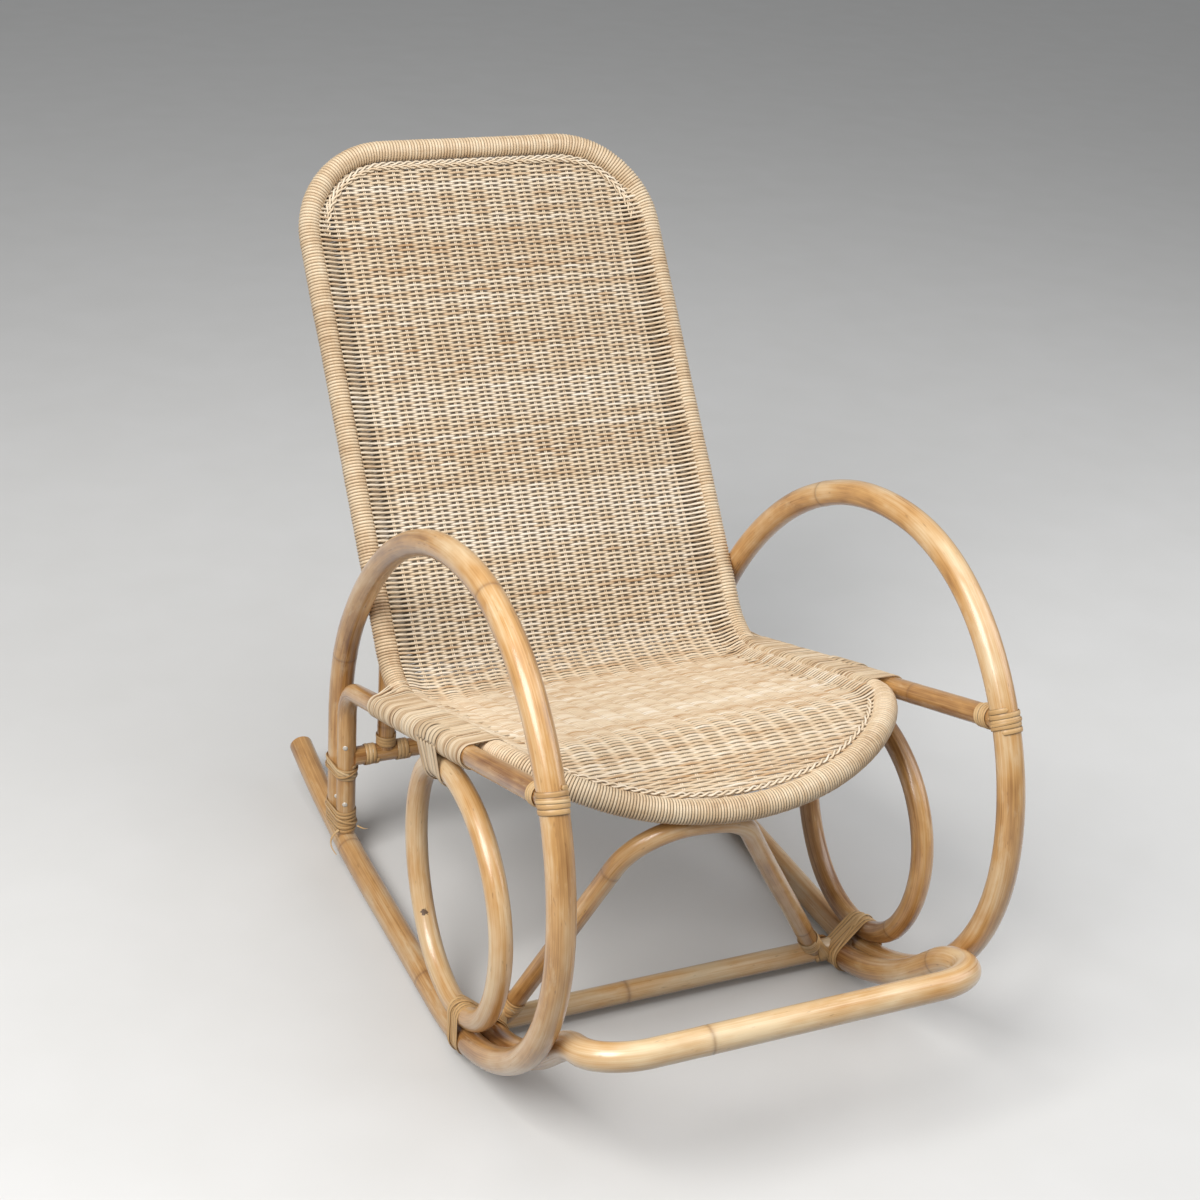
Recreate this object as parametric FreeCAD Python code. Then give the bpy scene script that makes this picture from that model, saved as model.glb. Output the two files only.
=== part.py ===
"""Rattan rocking chair: bent poles, a wrapped rim with a woven panel, and cane lashings.

Millimetres, +Z up, the sitter faces -Y. The origin is on the floor under the middle of the chair.
"""
import math
import os

import FreeCAD, Part

# Overall
overall_depth = 1230.0      # foot bar to the top of the back
back_top_z = 953.0          # centre line of the rim at the top of the back
half_gauge = 300.0          # middle of the chair to the centre line of a side frame

# Pole radii
side_r = 17.5
rail_r = 14.0
hoop_r = 15.0
rim_r = 14.0
foot_r = 18.0
stretcher_r = 15.0
arch_r = 13.0
crossbar_r = 14.0
brace_r = 13.0
pole_sides = 12             # flats of a bent pole, each at its radius

# Fits
seat_gap = 0.3              # between poles that lie against each other
splice_gap = 0.4            # between the butted ends of one bent pole

# Side pole: runner, front curve, post, arm and rear post
flat_rear_y = 103.0         # rear end of the straight middle of the runner
runner_tip_y = 451.0
runner_tip_rise = 38.5
post_y = -550.0
flat_front_y = -187.0       # front end of the straight middle
curve_low_r = 388.0         # first half of the front curve
arm_low_r = 353.0           # from the post to the rise of the arm
arm_top_r = 285.0
arm_fall_y = 78.0           # where the arm comes down behind the sitter's elbow
arm_fall_z = 547.0
arm_fall_angle = 42.0
rear_post_y = 255.0
rear_post_top_z = 215.0

# Seat rail and rear leg
seat_rise_angle = 18.6      # the seat rises towards the front
seat_line_z = 352.0         # height of the seat line above the origin
leg_bend_r = 60.0

# Hoop between the rail and the runner
hoop_foot_angle = 13.0      # place of its foot on the front curve
hoop_top_y = -145.0
hoop_rear_y = -77.0
hoop_rear_z = 240.0
hoop_front_y = -383.0
hoop_front_z = 222.0

# Shell: rim and woven panel
back_recline_angle = 38.1
top_corner_r = 133.0
seat_bend_r = 100.0
lip_start_y = -257.0
lip_r = 168.0
lip_length = 175.0          # along the surface, from the seat line to the middle of the front edge
rim_splice_y = -60.0
panel_t = 5.0

# Wrapped strands that tie the shell to the rails
wing_t = 2.3
wing_rear_y = 88.0
wing_front_y = -262.0
wing_band = 24.0            # length of the part that goes round the hoop as well

# Members across the chair
stretcher_y = -260.0
stretcher_z = 28.0
foot_reach_y = -542.0       # where the arms turn in to the foot bar
foot_reach_z = 196.0
foot_reach_angle = 20.0
foot_bar_z = 215.0
foot_bar_inset = 105.0      # side frame to the end of the straight front run
arch_left_inset = 62.0      # side frame to foot: the arch is bent by hand and leans to one side
arch_left_angle = 14.5
arch_left_rise = 320.0      # length of the straight left leg, up the plane of the arch
arch_apex_x = -68.0
arch_right_inset = 73.0
arch_right_angle = 30.3
arch_right_rise = 345.0
crossbar_z = 163.0
brace_inset = 60.0          # side frame to the brace's leg
brace_bend_r = 70.0

# Cane lashings
strand_w = 2.4              # a square strand
strand_room = 0.5           # between turns
lash_gap = 0.4              # between a strand and its pole
lash_turns = 3
rail_lash_turns = 2
curve_room = 0.8            # more room where a lashed pole curves away

os.makedirs("parts", exist_ok=True)
V = FreeCAD.Vector


def sin_deg(angle):
    return math.sin(math.radians(angle))


def cos_deg(angle):
    return math.cos(math.radians(angle))


# Paths of straight runs and tangent arcs

def arc_edge(start, direction, end):
    """An arc from start to end that sets out along direction, or a line if that is straight."""
    chord = end - start
    along = V(chord).normalize()
    side = direction - along * direction.dot(along)
    if side.Length < 1e-6:
        return Part.LineSegment(start, end).toShape()
    half_angle = math.acos(max(-1.0, min(1.0, direction.dot(along))))
    rise = chord.Length / 2 * math.tan(half_angle / 2)
    middle = (start + end) * 0.5 + side.normalize() * rise
    return Part.Arc(start, middle, end).toShape()


def biarc(p1, t1, p2, t2):
    """Two arcs, tangent to each other, from p1 along t1 to p2 along t2."""
    v = p2 - p1
    t = t1 + t2
    spread = 2 * (1 - t1.dot(t2))
    if spread < 1e-9:
        if V(v).normalize().dot(t1) > 1 - 1e-9:
            return [Part.LineSegment(p1, p2).toShape()]
        reach = v.dot(v) / (4 * v.dot(t2))
    else:
        reach = (math.sqrt(v.dot(t) ** 2 + spread * v.dot(v)) - v.dot(t)) / spread
    joint = (p1 + p2 + (t1 - t2) * reach) * 0.5
    return [arc_edge(p1, t1, joint), arc_edge(p2, t2 * -1, joint)]


def path(stations):
    """A smooth wire through stations, each a point and a direction."""
    edges = []
    for (p1, t1), (p2, t2) in zip(stations, stations[1:]):
        edges += biarc(p1, V(t1).normalize(), p2, V(t2).normalize())
    return Part.Wire(Part.__sortEdges__(edges))


def corner_r(radius):
    """Reach of the corners between the flats of a pole."""
    return radius / math.cos(math.pi / pole_sides)


def pole(stations, radius):
    """A pole along the stations, with flats towards X and square to it."""
    point, direction = stations[0]
    way = V(direction).normalize()
    side = (V(1, 0, 0) - way * way.x).normalize()
    up = way.cross(side)
    corners = []
    for k in range(pole_sides + 1):
        turn = 2 * math.pi * (k + 0.5) / pole_sides
        corners.append(point + (side * math.cos(turn) + up * math.sin(turn)) * corner_r(radius))
    return path(stations).makePipeShell([Part.makePolygon(corners)], True, False)


def largest(shape):
    return max(shape.Solids, key=lambda solid: solid.Volume)


def in_side(stations, x):
    """Stations given as y, z, dy, dz in a side frame at x."""
    return [(V(x, y, z), V(0, dy, dz)) for y, z, dy, dz in stations]


def mirrored(shape):
    return shape.mirror(V(0, 0, 0), V(1, 0, 0))


nodes = {}


def add_pair(name, right):
    """A right-hand piece and its mirror image."""
    nodes["right_" + name] = right
    nodes["left_" + name] = mirrored(right)


# Side poles
strand_reach = strand_w / math.sqrt(2)
half_turn = 45.0            # each curve changes its radius half way round its quarter
curve_mid_y = flat_front_y - curve_low_r * sin_deg(half_turn)
curve_mid_z = side_r + curve_low_r * (1 - cos_deg(half_turn))
curve_top_r = (curve_mid_y - post_y) / (1 - cos_deg(half_turn))
post_z = curve_mid_z + curve_top_r * sin_deg(half_turn)
arm_mid_y = post_y + arm_low_r * (1 - cos_deg(half_turn))
arm_mid_z = post_z + arm_low_r * sin_deg(half_turn)
arm_top_y = arm_mid_y + arm_top_r * sin_deg(half_turn)
arm_top_z = arm_mid_z + arm_top_r * (1 - cos_deg(half_turn))
tip_run = runner_tip_y - flat_rear_y
runner_arc_r = (tip_run ** 2 + runner_tip_rise ** 2) / (2 * runner_tip_rise)
tip_angle = math.degrees(math.asin(tip_run / runner_arc_r))


def runner_z(y):
    """Height of the runner's centre line behind its straight middle."""
    return side_r + runner_arc_r - math.sqrt(runner_arc_r ** 2 - (y - flat_rear_y) ** 2)


runner_stations = [
    (runner_tip_y, side_r + runner_tip_rise, -cos_deg(tip_angle), -sin_deg(tip_angle)),
    (flat_rear_y, side_r, -1, 0),
    (flat_front_y, side_r, -1, 0),
]
upper_stations = [
    (curve_mid_y, curve_mid_z, -cos_deg(half_turn), sin_deg(half_turn)),
    (post_y, post_z, 0, 1),
    (arm_mid_y, arm_mid_z, cos_deg(half_turn), sin_deg(half_turn)),
    (arm_top_y, arm_top_z, 1, 0),
    (arm_fall_y, arm_fall_z, cos_deg(arm_fall_angle), -sin_deg(arm_fall_angle)),
    (rear_post_y, rear_post_top_z, 0, -1),
]
bent_length = pole(in_side(runner_stations + upper_stations, half_gauge), side_r)
runner_room = pole(in_side(runner_stations, half_gauge), side_r + seat_gap)
rear_foot = pole(
    in_side([(rear_post_y, rear_post_top_z, 0, -1), (rear_post_y, runner_z(rear_post_y), 0, -1)], half_gauge),
    side_r,
)
rear_foot = largest(rear_foot.cut(runner_room))
right_side_pole = bent_length.fuse(rear_foot).removeSplitter()
add_pair("side_pole", right_side_pole)

# Seat rails, with the rear leg bent from the same pole
seat_slope = math.tan(math.radians(seat_rise_angle))
seat_dy = cos_deg(seat_rise_angle)
seat_dz = sin_deg(seat_rise_angle)
leg_y = rear_post_y - side_r - rail_r - seat_gap


def seat_z(y):
    """Height of the seat line, which the rails and the sides of the rim share."""
    return seat_line_z - seat_slope * y


leg_bend_run = leg_bend_r * math.tan(math.radians(90 - seat_rise_angle) / 2)
rail_stations = [
    (post_y, seat_z(post_y), seat_dy, -seat_dz),
    (leg_y - leg_bend_run * seat_dy, seat_z(leg_y - leg_bend_run * seat_dy), seat_dy, -seat_dz),
    (leg_y, seat_z(leg_y) - leg_bend_run, 0, -1),
    (leg_y, runner_z(leg_y), 0, -1),
]
post_room_r = corner_r(side_r) + 2 * lash_gap + 2 * strand_reach
post_room = pole(in_side(upper_stations[1:3], half_gauge), post_room_r)
right_rail = pole(in_side(rail_stations, half_gauge), rail_r).cut(right_side_pole)
right_rail = largest(right_rail.cut(post_room))
add_pair("seat_rail", right_rail)

# Hoops, spliced at the foot
front_centre_z = side_r + curve_low_r


def on_front_curve(angle, inward):
    """Point on the front curve of the runner, moved inward, and the way along it."""
    radius = curve_low_r - inward
    y = flat_front_y - radius * sin_deg(angle)
    z = front_centre_z - radius * cos_deg(angle)
    return y, z, -cos_deg(angle), sin_deg(angle)


wing_in = corner_r(rail_r) + seat_gap
wing_out = wing_in + wing_t
rail_to_hoop = wing_out + seat_gap + hoop_r
runner_to_hoop = side_r + seat_gap + hoop_r
foot_y, foot_z, foot_dy, foot_dz = on_front_curve(hoop_foot_angle, runner_to_hoop)
hoop_stations = [
    (foot_y - foot_dy * splice_gap / 2, foot_z - foot_dz * splice_gap / 2, -foot_dy, -foot_dz),
    (hoop_rear_y, hoop_rear_z, 0, 1),
    (hoop_top_y - rail_to_hoop * seat_dz, seat_z(hoop_top_y) - rail_to_hoop * seat_dy, -seat_dy, seat_dz),
    (hoop_front_y, hoop_front_z, 0, -1),
    (foot_y + foot_dy * splice_gap / 2, foot_z + foot_dz * splice_gap / 2, -foot_dy, -foot_dz),
]
right_hoop = pole(in_side(hoop_stations, half_gauge), hoop_r)
add_pair("hoop", right_hoop)

# Front stretcher, coped on the runners
stretcher = Part.makeCylinder(stretcher_r, 2 * half_gauge, V(-half_gauge, stretcher_y, stretcher_z), V(1, 0, 0))
for name in ("side_pole", "hoop"):
    for side in ("left_", "right_"):
        stretcher = stretcher.cut(nodes[side + name])
nodes["front_stretcher"] = largest(stretcher)

# Foot bar, with arms against the inner sides of the front curves
foot_bar_y = -overall_depth / 2 + foot_r
foot_arm_x = half_gauge - side_r - foot_r - seat_gap
foot_end = on_front_curve(math.degrees(math.asin((flat_front_y - stretcher_y) / curve_low_r)), 0)
foot_arm = in_side([
    foot_end,
    on_front_curve(half_turn, 0),
    (foot_reach_y, foot_reach_z, -cos_deg(foot_reach_angle), sin_deg(foot_reach_angle)),
], foot_arm_x)


def closed_by_mirror(half):
    """Stations from the right side to the middle, and on to the left side."""
    other = [(V(-p.x, p.y, p.z), V(d.x, -d.y, -d.z)) for p, d in reversed(half)]
    return half + other


foot_bar_half = half_gauge - foot_bar_inset
foot_stations = closed_by_mirror(foot_arm + [(V(foot_bar_half, foot_bar_y, foot_bar_z), V(-1, 0, 0))])
stretcher_room = Part.makeCylinder(stretcher_r + seat_gap, 2 * half_gauge,
                                   V(-half_gauge, stretcher_y, stretcher_z), V(1, 0, 0))
nodes["foot_bar"] = largest(pole(foot_stations, foot_r).cut(stretcher_room))

# Rim of the shell
rim_x = half_gauge - side_r - rim_r - seat_gap
back_dy = sin_deg(back_recline_angle)
back_dz = cos_deg(back_recline_angle)
back_top_y = overall_depth / 2 - rim_r
back_slope = back_dy / back_dz
fold_y = (back_top_y - back_slope * (back_top_z - seat_line_z)) / (1 + back_slope * seat_slope)
fold_z = seat_z(fold_y)
fold_angle = 180 - math.degrees(math.acos(-seat_dy * back_dy + seat_dz * back_dz))
fold_run = seat_bend_r * math.tan(math.radians(fold_angle) / 2)
fold_seat = (fold_y - fold_run * seat_dy, fold_z + fold_run * seat_dz)
fold_back = (fold_y + fold_run * back_dy, fold_z + fold_run * back_dz)
corner_y = back_top_y - top_corner_r * back_dy
corner_z = back_top_z - top_corner_r * back_dz
splice = (rim_splice_y, seat_z(rim_splice_y))
seat_back_way = V(0, seat_dy, -seat_dz)
back_up_way = V(0, back_dy, back_dz)


back_rim_stations = closed_by_mirror([
    (V(rim_x, splice[0], splice[1]), seat_back_way),
    (V(rim_x, fold_seat[0], fold_seat[1]), seat_back_way),
    (V(rim_x, fold_back[0], fold_back[1]), back_up_way),
    (V(rim_x, corner_y, corner_z), back_up_way),
    (V(rim_x - top_corner_r, back_top_y, back_top_z), V(-1, 0, 0)),
])
nodes["back_rim"] = pole(back_rim_stations, rim_r)

lip_centre_y = lip_start_y - lip_r * seat_dz
lip_centre_z = seat_z(lip_start_y) - lip_r * seat_dy


def on_lip(run):
    """Point of the lip at a run along its surface, and the way along it."""
    angle = math.degrees(run / lip_r) - seat_rise_angle
    point = V(0, lip_centre_y - lip_r * sin_deg(angle), lip_centre_z + lip_r * cos_deg(angle))
    return point, V(0, -cos_deg(angle), -sin_deg(angle))


def lip_station(turn):
    """Station of the front edge, a half ellipse laid on the lip, at an angle from its side."""
    point, way = on_lip(lip_length * sin_deg(turn))
    point.x = rim_x * cos_deg(turn)
    return point, V(-rim_x * sin_deg(turn), 0, 0) + way * (lip_length * cos_deg(turn))


splice_front_y = rim_splice_y - splice_gap * seat_dy
lip_turns = (0, 30, 60)
seat_rim_half = [(V(rim_x, splice_front_y, seat_z(splice_front_y)), V(0, -seat_dy, seat_dz))]
seat_rim_half += [lip_station(turn) for turn in lip_turns]
seat_rim_left = [(V(-p.x, p.y, p.z), V(d.x, -d.y, -d.z)) for p, d in reversed(seat_rim_half)]
seat_rim_stations = seat_rim_half + [lip_station(90)] + seat_rim_left
nodes["seat_rim"] = pole(seat_rim_stations, rim_r)

# Woven panel: one sheet from the top of the back to the lip, trimmed by the rim
lip_end, lip_end_way = on_lip(lip_length)
lip_middle, lip_middle_way = on_lip(lip_length / 2)
sheet_stations = [
    (V(0, back_top_y, back_top_z), back_up_way * -1),
    (V(0, fold_back[0], fold_back[1]), back_up_way * -1),
    (V(0, fold_seat[0], fold_seat[1]), V(0, -seat_dy, seat_dz)),
    (V(0, lip_start_y, seat_z(lip_start_y)), V(0, -seat_dy, seat_dz)),
    (lip_middle, lip_middle_way),
    (lip_end, lip_end_way),
]


def sheet_face(stations, thickness):
    """The sheet's cross section: its middle line moved half a thickness to each side."""
    upper = []
    lower = []
    for point, way in stations:
        normal = V(0, way.z, -way.y).normalize() * (thickness / 2)
        upper.append((point + normal, way))
        lower.append((point - normal, way * -1))
    lower.reverse()
    edges = path(upper).Edges + path(lower).Edges
    edges.append(Part.LineSegment(upper[0][0], lower[-1][0]).toShape())
    edges.append(Part.LineSegment(upper[-1][0], lower[0][0]).toShape())
    return Part.Face(Part.Wire(Part.__sortEdges__(edges)))


sheet = sheet_face(sheet_stations, panel_t)
sheet.translate(V(-rim_x, 0, 0))
panel = sheet.extrude(V(2 * rim_x, 0, 0))
for stations in (back_rim_stations, seat_rim_stations):
    panel = largest(panel.cut(pole(stations, rim_r + seat_gap)))
nodes["woven_panel"] = panel

# Wings: strands of the weave wrapped over the rim and round the rails
def along_seat(y_rear, y_front, x, normal):
    """Start point at x, moved along the seat's normal, and length along the seat line."""
    start = V(x, y_rear + normal * seat_dz, seat_z(y_rear) + normal * seat_dy)
    return start, (y_rear - y_front) / seat_dy


seat_front_way = V(0, -seat_dy, seat_dz)
seat_normal = V(0, seat_dz, seat_dy)
wrap_start, wrap_length = along_seat(wing_rear_y, wing_front_y, half_gauge, 0)
web_start, web_length = along_seat(fold_seat[0], lip_start_y, rim_x, wing_in)
wrap = Part.makeCylinder(wing_out, wrap_length, wrap_start, seat_front_way)
web_corners = [
    web_start,
    web_start + V(half_gauge - rim_x, 0, 0),
    web_start + V(half_gauge - rim_x, 0, 0) + seat_normal * wing_t,
    web_start + seat_normal * wing_t,
]
web = Part.Face(Part.makePolygon(web_corners + web_corners[:1])).extrude(seat_front_way * web_length)
bore = Part.makeCylinder(wing_in, wrap_length, wrap_start, seat_front_way)


def loop_stations(circles):
    """Points and outward normals of one turn round circles, listed counter-clockwise."""
    if len(circles) == 1:
        x, y, r = circles[0]
        turns = (0, 180)
        return [(x + r * cos_deg(a), y + r * sin_deg(a), cos_deg(a), sin_deg(a)) for a in turns]
    lines = []
    for (x1, y1, r1), (x2, y2, r2) in zip(circles, circles[1:] + circles[:1]):
        span = math.hypot(x2 - x1, y2 - y1)
        ux, uy = (x2 - x1) / span, (y2 - y1) / span
        lean = (r1 - r2) / span
        out = math.sqrt(1 - lean ** 2)
        lines.append(math.atan2(lean * uy - out * ux, lean * ux + out * uy))
    stations = []
    for (x, y, r), before, after in zip(circles, lines[-1:] + lines[:-1], lines):
        sweep = (after - before) % (2 * math.pi)
        for k in range(2):
            angle = before + sweep * k
            stations.append((x + r * math.cos(angle), y + r * math.sin(angle), math.cos(angle), math.sin(angle)))
    return stations


band_start, band_length = along_seat(hoop_top_y + wing_band / 2, hoop_top_y - wing_band / 2, half_gauge, 0)
band_hoop_r = corner_r(hoop_r) + seat_gap + wing_t
band_loop = loop_stations([(0, 0, wing_out), (0, -rail_to_hoop, band_hoop_r)])
band_corners = [band_start + V(x, 0, 0) + seat_normal * y for x, y, nx, ny in band_loop]
band = Part.Face(Part.makePolygon(band_corners + band_corners[:1])).extrude(seat_front_way * band_length)
band = band.fuse(Part.makeCylinder(band_hoop_r, band_length, band_start - seat_normal * rail_to_hoop,
                                   seat_front_way))
band = band.cut(pole(in_side(hoop_stations, half_gauge), hoop_r + seat_gap))
wing = wrap.fuse(web).fuse(band).cut(bore).removeSplitter()
add_pair("seat_wing", wing)

# Arch brace, leaning from the stretcher to the front edge of the seat
arch_meets, arch_meets_way = on_lip(lip_length * math.sqrt(1 - (arch_apex_x / rim_x) ** 2))
arch_way = V(0, arch_meets.y - stretcher_y, arch_meets.z - stretcher_z)
arch_apex = arch_way.Length - corner_r(rim_r) - corner_r(arch_r) - seat_gap
arch_way.normalize()
arch_base = V(0, stretcher_y, stretcher_z)


def in_arch(x, rise, dx, drise):
    return arch_base + V(x, 0, 0) + arch_way * rise, V(dx, 0, 0) + arch_way * drise


arch_left_x = arch_left_inset - half_gauge
arch_right_x = half_gauge - arch_right_inset
left_shoulder_x = arch_left_x + arch_left_rise * math.tan(math.radians(arch_left_angle))
right_shoulder_x = arch_right_x - arch_right_rise * math.tan(math.radians(arch_right_angle))
arch_stations = [
    in_arch(arch_left_x, 0, sin_deg(arch_left_angle), cos_deg(arch_left_angle)),
    in_arch(left_shoulder_x, arch_left_rise, sin_deg(arch_left_angle), cos_deg(arch_left_angle)),
    in_arch(arch_apex_x, arch_apex, 1, 0),
    in_arch(right_shoulder_x, arch_right_rise, sin_deg(arch_right_angle), -cos_deg(arch_right_angle)),
    in_arch(arch_right_x, 0, sin_deg(arch_right_angle), -cos_deg(arch_right_angle)),
]
nodes["arch_brace"] = largest(pole(arch_stations, arch_r).cut(nodes["front_stretcher"]))

# Rear crossbar between the legs, and the brace that stands on it behind the back
crossbar = Part.makeCylinder(crossbar_r, 2 * half_gauge, V(-half_gauge, leg_y, crossbar_z), V(1, 0, 0))
for side in ("left_", "right_"):
    crossbar = crossbar.cut(nodes[side + "seat_rail"])
nodes["rear_crossbar"] = largest(crossbar)
brace_half = half_gauge - brace_inset
brace_reach = panel_t / 2 + seat_gap + corner_r(brace_r)
brace_top_z = back_top_z + (leg_y - brace_reach * back_dz - back_top_y) / back_slope - brace_reach * back_dy
brace_shoulder_z = brace_top_z - brace_bend_r
brace_stations = closed_by_mirror([
    (V(brace_half, leg_y, crossbar_z), V(0, 0, 1)),
    (V(brace_half, leg_y, brace_shoulder_z), V(0, 0, 1)),
    (V(brace_half - brace_bend_r, leg_y, brace_top_z), V(-1, 0, 0)),
])
nodes["back_brace"] = largest(pole(brace_stations, brace_r).cut(nodes["rear_crossbar"]))


# Lashings: one strand of cane each, wound round one, two or three poles
strand_pitch = 2 * strand_reach + strand_room
lash_half = lash_turns * strand_pitch / 2 + strand_reach
rail_lash_half = rail_lash_turns * strand_pitch / 2 + strand_reach


def least_gap(wire, turns):
    """Least gap between neighbouring turns, measured on points of the strand's middle line."""
    points = wire.discretize(Number=36 * turns)
    least = min((a - b).Length for k, a in enumerate(points) for b in points[k + 18:])
    return least - 2 * strand_reach


def lashing(name, centre, axis, across, circles, turns):
    """A strand wound about axis; circles are given across it, from centre, counter-clockwise."""
    axis = V(axis).normalize()
    across = V(across).normalize()
    up = axis.cross(across)
    loop = loop_stations([(x, y, corner_r(r) + lash_gap + strand_reach) for x, y, r in circles])
    flat = [V(x, y, 0) for x, y, nx, ny in loop]
    runs = [(b - a).Length for a, b in zip(flat, flat[1:] + flat[:1])]
    length = sum(runs)
    stations = []
    for turn in range(turns):
        run = 0
        for (x, y, nx, ny), step in zip(loop, runs):
            along = strand_pitch * (turn + run / length - turns / 2)
            way = (across * -ny + up * nx) * length + axis * strand_pitch
            stations.append((centre + across * x + up * y + axis * along, way))
            run += step
    point, way = stations[0]
    stations.append((point + axis * (turns * strand_pitch), way))
    out = (across * loop[0][2] + up * loop[0][3]) * (strand_w / 2)
    wide = V(way).normalize().cross(V(out).normalize()) * (strand_w / 2)
    corners = [point + out + wide, point - out + wide, point - out - wide, point + out - wide]
    wire = path(stations)
    print(name, "lashing, least gap between turns", round(least_gap(wire, turns), 2))
    return wire.makePipeShell([Part.makePolygon(corners + corners[:1])], True, False)


def add_lashings(name, right):
    """A right-hand lashing and its mirror image, as one group."""
    nodes[name + "_lashings"] = Part.Compound([right, mirrored(right)])


right_way = V(1, 0, 0)
post_centre_y = post_y + arm_low_r
joint_drop = post_z - seat_line_z + seat_slope * post_centre_y
joint_angle = seat_rise_angle - math.degrees(math.asin(joint_drop * seat_dy / arm_low_r))
post_lash_at = V(half_gauge, post_centre_y - arm_low_r * cos_deg(joint_angle),
                 post_z + arm_low_r * sin_deg(joint_angle))
post_way = V(0, sin_deg(joint_angle), cos_deg(joint_angle))
add_lashings("post", lashing("post", post_lash_at, post_way, right_way, [(0, 0, side_r)], lash_turns))

rail_lash_y = post_lash_at.y + corner_r(post_room_r) + rail_lash_half + strand_w
rail_lash_at = V(half_gauge, rail_lash_y, seat_z(rail_lash_y))
add_lashings("rail", lashing("rail", rail_lash_at, seat_front_way, right_way, [(0, 0, rail_r)], rail_lash_turns))

leg_pair = [(0, 0, rail_r), (0, rear_post_y - leg_y, side_r)]
upper_lash_z = crossbar_z - crossbar_r - lash_gap - lash_half
lower_lash_z = runner_z(rear_post_y) + corner_r(side_r) + 2 * strand_w + lash_half
for name, z in (("upper_leg", upper_lash_z), ("lower_leg", lower_lash_z)):
    add_lashings(name, lashing(name, V(half_gauge, leg_y, z), V(0, 0, 1), right_way, leg_pair, lash_turns))

foot_lash_y = stretcher_y - stretcher_r - 2 * lash_gap - lash_half
foot_lash_angle = math.degrees(math.asin((flat_front_y - foot_lash_y) / curve_low_r))
lash_y, lash_z, lash_dy, lash_dz = on_front_curve(foot_lash_angle, 0)
hoop_trio = [(0, 0, side_r), (0, runner_to_hoop + curve_room, hoop_r), (foot_arm_x - half_gauge, 0, foot_r)]
add_lashings("hoop_foot", lashing("hoop_foot", V(half_gauge, lash_y, lash_z), V(0, lash_dy, lash_dz), right_way,
                                  hoop_trio, lash_turns))

arch_lashings = []
for foot_x, angle in ((arch_left_x, arch_left_angle), (arch_right_x, -arch_right_angle)):
    leg_way = V(sin_deg(angle), 0, 0) + arch_way * cos_deg(angle)
    lash_run = stretcher_r / cos_deg(angle) + corner_r(arch_r) * abs(math.tan(math.radians(angle)))
    lash_run += lash_half + strand_w
    lash_at = arch_base + V(foot_x, 0, 0) + leg_way * lash_run
    lash_across = V(cos_deg(angle), 0, 0) - arch_way * sin_deg(angle)
    arch_lashings.append(lashing("arch", lash_at, leg_way, lash_across, [(0, 0, arch_r)], lash_turns))
nodes["arch_lashings"] = Part.Compound(arch_lashings)

brace_lash_z = crossbar_z + crossbar_r + lash_gap + lash_half
add_lashings("brace", lashing("brace", V(brace_half, leg_y, brace_lash_z), V(0, 0, 1), right_way,
                              [(0, 0, brace_r)], lash_turns))

for node, shape in nodes.items():
    shape.exportStep("parts/" + node + ".step")
    print(node, "solids", len(shape.Solids), "valid", shape.isValid(), "volume", round(shape.Volume))
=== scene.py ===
"""Looks of a rattan rocking chair: bent poles, a woven shell with a wrapped rim, and cane lashings.

Metres, +Z up, the sitter faces -Y. Each pole is a straight tube that is bent along its centre line, and keeps
its straight coordinates in an attribute, so that fibres and node rings follow the bend.
"""
import logging
import math
from dataclasses import dataclass, field
from enum import Enum
from typing import Any, Sequence, Union

import bpy
import numpy as np
from mathutils import Matrix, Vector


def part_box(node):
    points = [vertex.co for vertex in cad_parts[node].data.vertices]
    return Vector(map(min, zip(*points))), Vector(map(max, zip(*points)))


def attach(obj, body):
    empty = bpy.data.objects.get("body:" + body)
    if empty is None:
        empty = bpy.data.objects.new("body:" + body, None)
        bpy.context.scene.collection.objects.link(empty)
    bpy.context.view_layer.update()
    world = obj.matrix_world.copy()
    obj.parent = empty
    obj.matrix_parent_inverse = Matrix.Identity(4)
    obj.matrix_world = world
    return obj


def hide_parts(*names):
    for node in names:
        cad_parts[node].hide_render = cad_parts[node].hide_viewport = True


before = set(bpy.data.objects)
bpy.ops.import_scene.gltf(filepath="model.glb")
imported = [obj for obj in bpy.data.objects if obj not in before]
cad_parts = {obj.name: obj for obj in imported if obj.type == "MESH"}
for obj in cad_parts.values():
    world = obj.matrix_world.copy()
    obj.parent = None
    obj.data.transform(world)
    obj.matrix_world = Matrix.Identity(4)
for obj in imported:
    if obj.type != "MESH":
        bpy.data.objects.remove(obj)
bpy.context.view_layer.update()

LOG = logging.getLogger("rattan_rocking_chair")
Array = np.ndarray
Reading = Union[float, Array]
Colour = tuple[int, int, int]
Triple = tuple[float, float, float]
Station = tuple[Sequence[float], Sequence[float]]

RIGHT = (1.0, 0.0, 0.0)
UP = (0.0, 0.0, 1.0)
# The part's poles have twelve flats; this is their radius to a flat over their radius to a corner.
FLAT_COS = math.cos(math.pi / 12)
# Each strand starts at a random length along the fibre pattern, up to this many metres.
FIBRE_REACH = 50.0


# Small helpers

def unit(vector: Sequence[float]) -> Array:
    """A vector of length one along the given one."""
    vector = np.asarray(vector, float)
    return vector / np.linalg.norm(vector)


def sin_deg(angle: float) -> float:
    """Sine of an angle in degrees."""
    return math.sin(math.radians(angle))


def cos_deg(angle: float) -> float:
    """Cosine of an angle in degrees."""
    return math.cos(math.radians(angle))


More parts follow.
